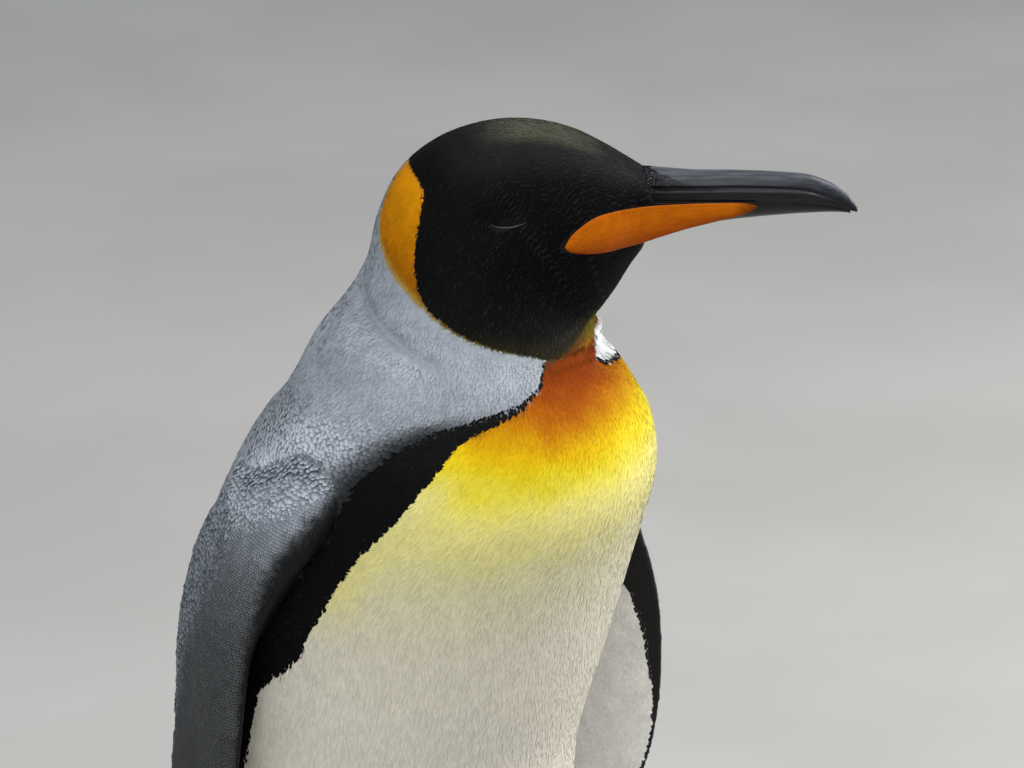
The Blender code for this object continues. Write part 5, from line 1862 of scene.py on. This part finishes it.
@dataclass
class Bill:
    """Upper and lower bill, and the two plates."""

    form: BillForm
    brightest: float = 8.0  # the most by which a tint multiplies the horn's colour

    def build(self, finishes: Finishes) -> list[bpy.types.Object]:
        """The four horn pieces, and the feathers at the root of the upper bill."""
        pieces = []
        share = np.linspace(0, 1, 110)[:, None] ** 0.92
        angle = np.concatenate([np.linspace(0, math.pi, 73), np.linspace(-3.04, -0.1, 13)])[None, :]
        for name, half in (("bill_upper", self.form.upper), ("bill_lower", self.form.lower)):
            grid = half(share + 0 * angle, angle + 0 * share)
            high = self.form.high(angle)
            # crest: a painted reflection of the sky, lightest along the culmen, weaker on the lower bill and
            # fading towards the tip
            crest = smooth(0.52, 0.62, high) * (0.30 + 0.70 * smooth(0.66, 0.90, high))
            crest = crest * smooth(1.03, 0.95, share)
            tint = (0.6 + (4.6 if name == "bill_upper" else 1.6) * crest)[..., None] * np.ones(3)
            pieces.append(self.piece(f"{name}_horn", grid, tint, finishes, "bill_horn", name))
        pieces += self.feathered_edge(pieces[0], finishes)
        for side, name in ((1, "bill_plate_left"), (-1, "bill_plate_right")):
            grid = self.form.plate_rings(side)
            pieces.append(self.piece(f"{name}_horn", grid, self.plate_tint(grid), finishes,
                                     "plate_horn", name))
        return pieces

    def feathered_edge(self, upper: bpy.types.Object, finishes: Finishes) -> list[bpy.types.Object]:
        """The wedge of small feathers that runs out along each side of the upper bill.

        Its upper edge falls from the root of the culmen to just under the groove, and its point
        lies 42 mm ahead of the hinge line.
        """
        chart = Chart(self.form.upper, 1.0, 300, 361)
        coat = Coat("coat_bill_root", chart, PLUSH, -1, 71)
        u, v = chart.even_rows(0.00072, 0.001, 0.34, coat.rng, 0.3)
        forward = self.form.start + (self.form.upper_tip - self.form.start) * u
        high = self.form.high(v)
        points = chart.place(u, v)
        wave = 0.02 * lattice_noise(points, 0.004, 72)
        top = np.interp(forward, (0.013, 0.022, 0.032, 0.042), (1.02, 0.82, 0.60, 0.42)) + wave
        foot = np.interp(forward, (0.020, 0.032, 0.042), (-0.05, 0.10, 0.36))
        good = (np.sin(v) > 0.02) & (high < top) & (high > foot)
        speck = smooth(0.55, 0.9, lattice_noise(points, 0.0016, 73)) * smooth(0.5, 0.8, high)
        tip = np.array([0.0045, 0.0045, 0.0045]) + speck[:, None] * np.array([0.03, 0.03, 0.027])
        size = 0.30 + 0.25 * smooth(0.030, 0.012, forward)
        growth = Growth(u, v, tip * 0.6, tip, size, coat.rng.normal(0, 0.10, len(u)))
        return finishes.dress_all(coat.grow(growth.kept(good), upper, 0.002), "black_plumage")

    def plate_tint(self, grid: Array) -> Array:
        """A plate glows along its upper middle, deepens to its lower edge, and smokes over at its
        point."""
        forward, up, _ = self.form.head.from_head(grid)
        low, high = self.form.plate_edges(forward)
        share = np.clip((up - low) / (high - low), 0, 1)
        tint = colour_stops(((0.0, 0.72, 0.55, 0.6), (0.3, 0.92, 0.86, 0.9), (0.65, 1.08, 1.16, 1.0),
                             (1.0, 0.95, 0.95, 1.0)), share)
        return blend(tint, (0.16, 0.12, 0.6),
                     smooth(0.048, 0.0615, forward + 0.002 * lattice_noise(grid, 0.003, 74)) * 0.9)

    def piece(self, name: str, grid: Array, tint: Array, finishes: Finishes, finish: str,
              node: str) -> bpy.types.Object:
        """One closed horn piece in place of its node."""
        made = outward(new_object(name, *closed_tube(grid)))
        paint(made, np.concatenate([(tint + 0 * grid).reshape(-1, 3), np.ones((2, 3))]), self.brightest)
        finishes.dress(made, finish)
        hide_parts(node)
        return made


@dataclass
class Eyes:
    """The eyes, and the closed lids over them."""

    body: BodyForm
    chart: Chart
    ring: float = 18.42
    angle: float = 105.0
    radius: float = 0.0085
    half_slit: float = 0.0095
    reach: tuple = (0.0112, 0.0050)

    def frame(self, side: int) -> tuple[Array, Array, Array, Array]:
        """The middle of one eye on the skin, and the directions ahead, up and out there."""
        at = np.array([self.ring]), np.array([math.radians(side * self.angle)])
        out = unit(self.chart.read(self.chart.normal, *at))[0]
        up = unit(UP - out * out[2])
        ahead = np.cross(up, out)
        return self.chart.place(*at)[0], ahead * np.sign(ahead @ AHEAD), up, out

    def slit(self, x: Array) -> Array:
        """How high the slit lies at x ahead of the eye's middle: a sagging bow."""
        return 0.0016 - 0.0031 * (1 - ((x + 0.0012) / self.half_slit) ** 2)

    def bare(self, points: Array) -> Array:
        """Whether places lie on the lids' bare rims."""
        found = np.zeros(len(points), bool)
        for side in (1, -1):
            at, ahead, up, out = self.frame(side)
            away = points - at
            x, y = away @ ahead, away @ up - self.slit(away @ ahead)
            near = (np.abs(away @ out) < 0.008) & (np.abs(x) < self.half_slit)
            bow = np.sqrt(np.clip(1 - (x / self.half_slit) ** 2, 0, 1))
            found |= near & (y > -0.0014 * bow) & (y < 0.0012 * bow)
        return found

    def lid(self, side: int) -> bpy.types.Object:
        """The closed lids of one eye, as a thin low-domed disc.

        Reach and bearing run over an oval in the skin's own plane. The disc stands off the skin
        by a low dome, is pressed in along the slit, carries a rim under it and has finer creases
        above and below.
        """
        reach = np.linspace(0.0, 1.0, 44)[:, None]
        bearing = np.linspace(0, math.tau, 96, endpoint=False)[None, :]
        x = self.reach[0] * reach * np.cos(bearing)
        y = self.reach[1] * reach * np.sin(bearing)
        _, ahead, up, _ = self.frame(side)
        centre = np.array([self.ring]), np.array([math.radians(side * self.angle)])
        sides = np.stack([self.chart.read(self.chart.along, *centre)[0],
                          self.chart.read(self.chart.round, *centre)[0]], 1)
        solve = np.linalg.pinv(sides) @ np.stack([ahead, up], 1)
        u = centre[0][0] + solve[0, 0] * x + solve[0, 1] * y
        v = centre[1][0] + solve[1, 0] * x + solve[1, 1] * y
        at = self.chart.place(u, v)
        out = unit(self.chart.read(self.chart.normal, u, v))
        off = y - self.slit(x)
        inside = smooth(1.12, 0.80, np.abs(x) / self.half_slit)
        height = 0.0005 * (1 - reach ** 2) - 0.0003
        height = height + 0.00055 * np.exp(-((off + 0.00065) / 0.00042) ** 2) * inside
        height = height - 0.0012 * np.exp(-((off - 0.0001) / 0.00030) ** 2) * inside
        for drop in (-0.0012, 0.0017, 0.0026):
            height = height - 0.00016 * np.exp(-((off + drop) / 0.00020) ** 2) * inside
        height = height - 0.0011 * smooth(0.72, 1.0, reach)
        top = at + out * height[..., None]
        under = at - out * 0.0016
        made = outward(new_object(f"lid_{side_name(side)}",
                                  *closed_tube(np.concatenate([top, under[::-1]]))))
        pale = np.exp(-((off + 0.00065) / 0.00036) ** 2) * smooth(1.05, 0.25, np.abs(x) / self.half_slit)
        shade = np.concatenate([(0.003 + 0.065 * pale).ravel(), np.full(under.shape[0] * 96, 0.003),
                                [0.003, 0.003]])
        paint(made, shade[:, None] * np.array([1.0, 0.98, 0.95]))
        return made

    def ball(self, side: int) -> bpy.types.Object:
        """The eyeball under the lids, as deep as its own radius: a sphere by two angles."""
        at, _, _, out = self.frame(side)
        a = np.linspace(0.05, math.pi - 0.05, 24)[:, None]
        b = np.linspace(0, math.tau, 36, endpoint=False)[None, :]
        ball = np.stack([np.sin(a) * np.cos(b), np.sin(a) * np.sin(b), np.cos(a) + 0 * b], -1)
        grid = at - out * (self.radius + 0.0013) + ball * self.radius
        return outward(new_object(f"eyeball_{side_name(side)}", *closed_tube(grid)))

    def build(self, finishes: Finishes) -> list[bpy.types.Object]:
        """Both lids and both eyeballs."""
        pieces = []
        for side, name in ((1, "left"), (-1, "right")):
            lid, ball = self.lid(side), self.ball(side)
            finishes.dress(lid, "lid_skin", "black_plumage")
            finishes.dress(ball, "eye")
            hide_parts(f"eye_{name}")
            pieces += [lid, ball]
        return pieces


@dataclass
class Claws:
    """The six claws."""

    feet: list[FootForm]

    def build(self, finishes: Finishes) -> list[bpy.types.Object]:
        """Every claw in place of its node."""
        pieces = []
        for foot in self.feet:
            side = side_name(foot.side)
            for row in foot.toes:
                made = outward(new_object(f"claw_horn_{side}_{row[0]}", *foot.claw(row)))
                paint(made, np.ones((len(made.data.vertices), 3)))
                finishes.dress(made, "claw_horn")
                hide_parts(f"claw_{side}_{row[0]}")
                pieces.append(made)
        return pieces


@dataclass(frozen=True)
class Studio:
    """Floor, lights and camera."""

    azimuth: float = math.radians(47)
    elevation: float = math.radians(20)
    distance: float = 2.4
    frame_width: float = 0.471
    aside: float = 0.0258

    def build(self) -> None:
        """Makes the floor, the soft lights and the camera."""
        self.floor()
        self.world()
        right = np.array([math.cos(self.azimuth), -math.sin(self.azimuth), 0.0])
        back = np.array([-math.sin(self.azimuth) * math.cos(self.elevation),
                         -math.cos(self.azimuth) * math.cos(self.elevation),
                         math.sin(self.elevation)])
        target = ORIGIN + np.array([0, -0.045, 0.654]) + right * self.aside
        self.light("sky", np.array([0.1, -0.2, 2.6]), target, 2.6, 22.0, (1.0, 0.99, 0.97))
        self.light("key", target + right * 1.35 + np.array([0, 0, 1.75]) + back * 0.10, target, 1.0,
                   28.0, (1.0, 0.985, 0.95))
        self.light("fill", target - right * 0.35 + back * 2.1 + np.array([0, 0, 0.9]), target, 1.8,
                   34.0, (0.97, 0.98, 1.0))
        self.light("rim", target + right * 2.4 - back * 1.3 + np.array([0, 0, 1.2]), target, 1.5,
                   58.0, (1.0, 0.99, 0.96))
        lens = bpy.data.cameras.new("camera")
        lens.sensor_width = 36.0
        lens.lens = 36.0 * self.distance / self.frame_width
        lens.clip_start = 0.05
        camera = bpy.data.objects.new("camera", lens)
        bpy.context.scene.collection.objects.link(camera)
        camera.location = Vector(target + back * self.distance)
        camera.rotation_euler = (Vector(back)).to_track_quat("Z", "Y").to_euler()
        bpy.context.scene.camera = camera

    def light(self, name: str, at: Array, target: Array, size: float, power: float,
              colour: tuple) -> None:
        """A square area light that faces the target."""
        lamp = bpy.data.lights.new(name, "AREA")
        lamp.energy, lamp.size, lamp.color = power, size, colour
        made = bpy.data.objects.new(name, lamp)
        bpy.context.scene.collection.objects.link(made)
        made.location = Vector(at)
        made.rotation_euler = Vector(at - target).to_track_quat("Z", "Y").to_euler()

    def world(self) -> None:
        """A plain pale surround."""
        world = bpy.data.worlds.new("surround")
        world.use_nodes = True
        world.node_tree.nodes["Background"].inputs[0].default_value = (0.80, 0.86, 0.93, 1)
        world.node_tree.nodes["Background"].inputs[1].default_value = 0.58
        bpy.context.scene.world = world
        bpy.context.scene.view_settings.view_transform = "Standard"

    def floor(self) -> None:
        """A wide pale floor that is only stage."""
        reach = 6.0
        points = np.array([(-reach, -reach, 0), (reach, -reach, 0), (reach, reach, 0),
                           (-reach, reach, 0)], float)
        made = new_object("floor", points, [np.array([[0, 1, 2, 3]])])
        paper, nodes = new_material("floor_paper")
        where = nodes.add("TexCoord").outputs["Object"]
        cloud = nodes.add("TexNoise", {"Vector": where, "Scale": 3.0, "Detail": 3.0})
        colour = nodes.mix(nodes.ramp(cloud.outputs[0], 0.3, 0.7), (0.40, 0.39, 0.37, 1),
                           (0.44, 0.43, 0.41, 1))
        nodes.principled({"Base Color": colour, "Roughness": 0.85})
        made.data.materials.append(paper)


LEFT_PATH = ((0.00, 0.050, 0.020, 0.648), (0.05, 0.070, 0.017, 0.630), (0.12, 0.0925, 0.009, 0.608),
             (0.20, 0.109, 0.004, 0.583), (0.32, 0.1275, 0.003, 0.546), (0.47, 0.1440, 0.008, 0.497),
             (0.68, 0.160, 0.004, 0.428), (0.86, 0.167, -0.007, 0.368), (1.00, 0.166, -0.017, 0.321))
RIGHT_PATH = ((0.00, 0.050, 0.020, 0.648), (0.05, 0.070, 0.017, 0.629), (0.12, 0.0905, 0.008, 0.604),
              (0.20, 0.0985, -0.003, 0.578), (0.32, 0.1027, -0.012, 0.540),
              (0.47, 0.106, -0.014, 0.490), (0.68, 0.1095, -0.018, 0.420),
              (0.86, 0.1125, -0.022, 0.360), (1.00, 0.113, -0.025, 0.312))


def main() -> None:
    """Builds the bird from the skin outwards, and then the stage."""
    logging.basicConfig(level=logging.INFO, format="%(name)s %(message)s")
    finishes, markings = Finishes(), Markings()
    body, tail = BodyForm(), TailForm()
    flippers = [FlipperForm(1, LEFT_PATH, math.radians(20)), FlipperForm(-1, RIGHT_PATH, math.radians(17))]
    legs, feet = [LegForm(1), LegForm(-1)], [FootForm(1), FootForm(-1)]
    chart = Chart(body.surface, body.rings, 900, 721)
    eyes, bill = Eyes(body, chart), BillForm(body, chart)

    def bare(points: Array) -> Array:
        """Whether places carry no feathers: the lids' rims and the plates."""
        return eyes.bare(points) | bill.bare(points)

    under = Skin(body, flippers, tail, legs, feet)
    skin = under.build()
    log.info("skin: %d faces", len(skin.data.polygons))
    pieces = BodyCoat(chart, markings, bare).build(skin, finishes)
    coats = []
    for form, leg in zip(flippers, legs):
        side = side_name(form.side)
        coats.append(FlipperCoat(form, Chart(form.surface, 1.0, 400, 241), side))
        pieces += coats[-1].build(skin, finishes)
        leg_chart = Chart(leg.surface, 1.0, 120, 181)
        pieces += LegCoat(leg, leg_chart, side, body, markings).build(skin, finishes)
    tail_chart = Chart(tail.surface, 1.0, 160, 181)
    pieces += TailCoat(tail, tail_chart, body, markings).build(skin, finishes)
    pieces += Bill(bill).build(finishes)
    pieces += eyes.build(finishes)
    pieces += Claws(feet).build(finishes)
    under.dress(skin, finishes, markings, coats)
    Studio().build()
    for piece in [skin, *pieces]:
        piece.data.calc_loop_triangles()
        log.info("%s: %d triangles", piece.name, len(piece.data.loop_triangles))


if __name__ == "__main__":
    main()
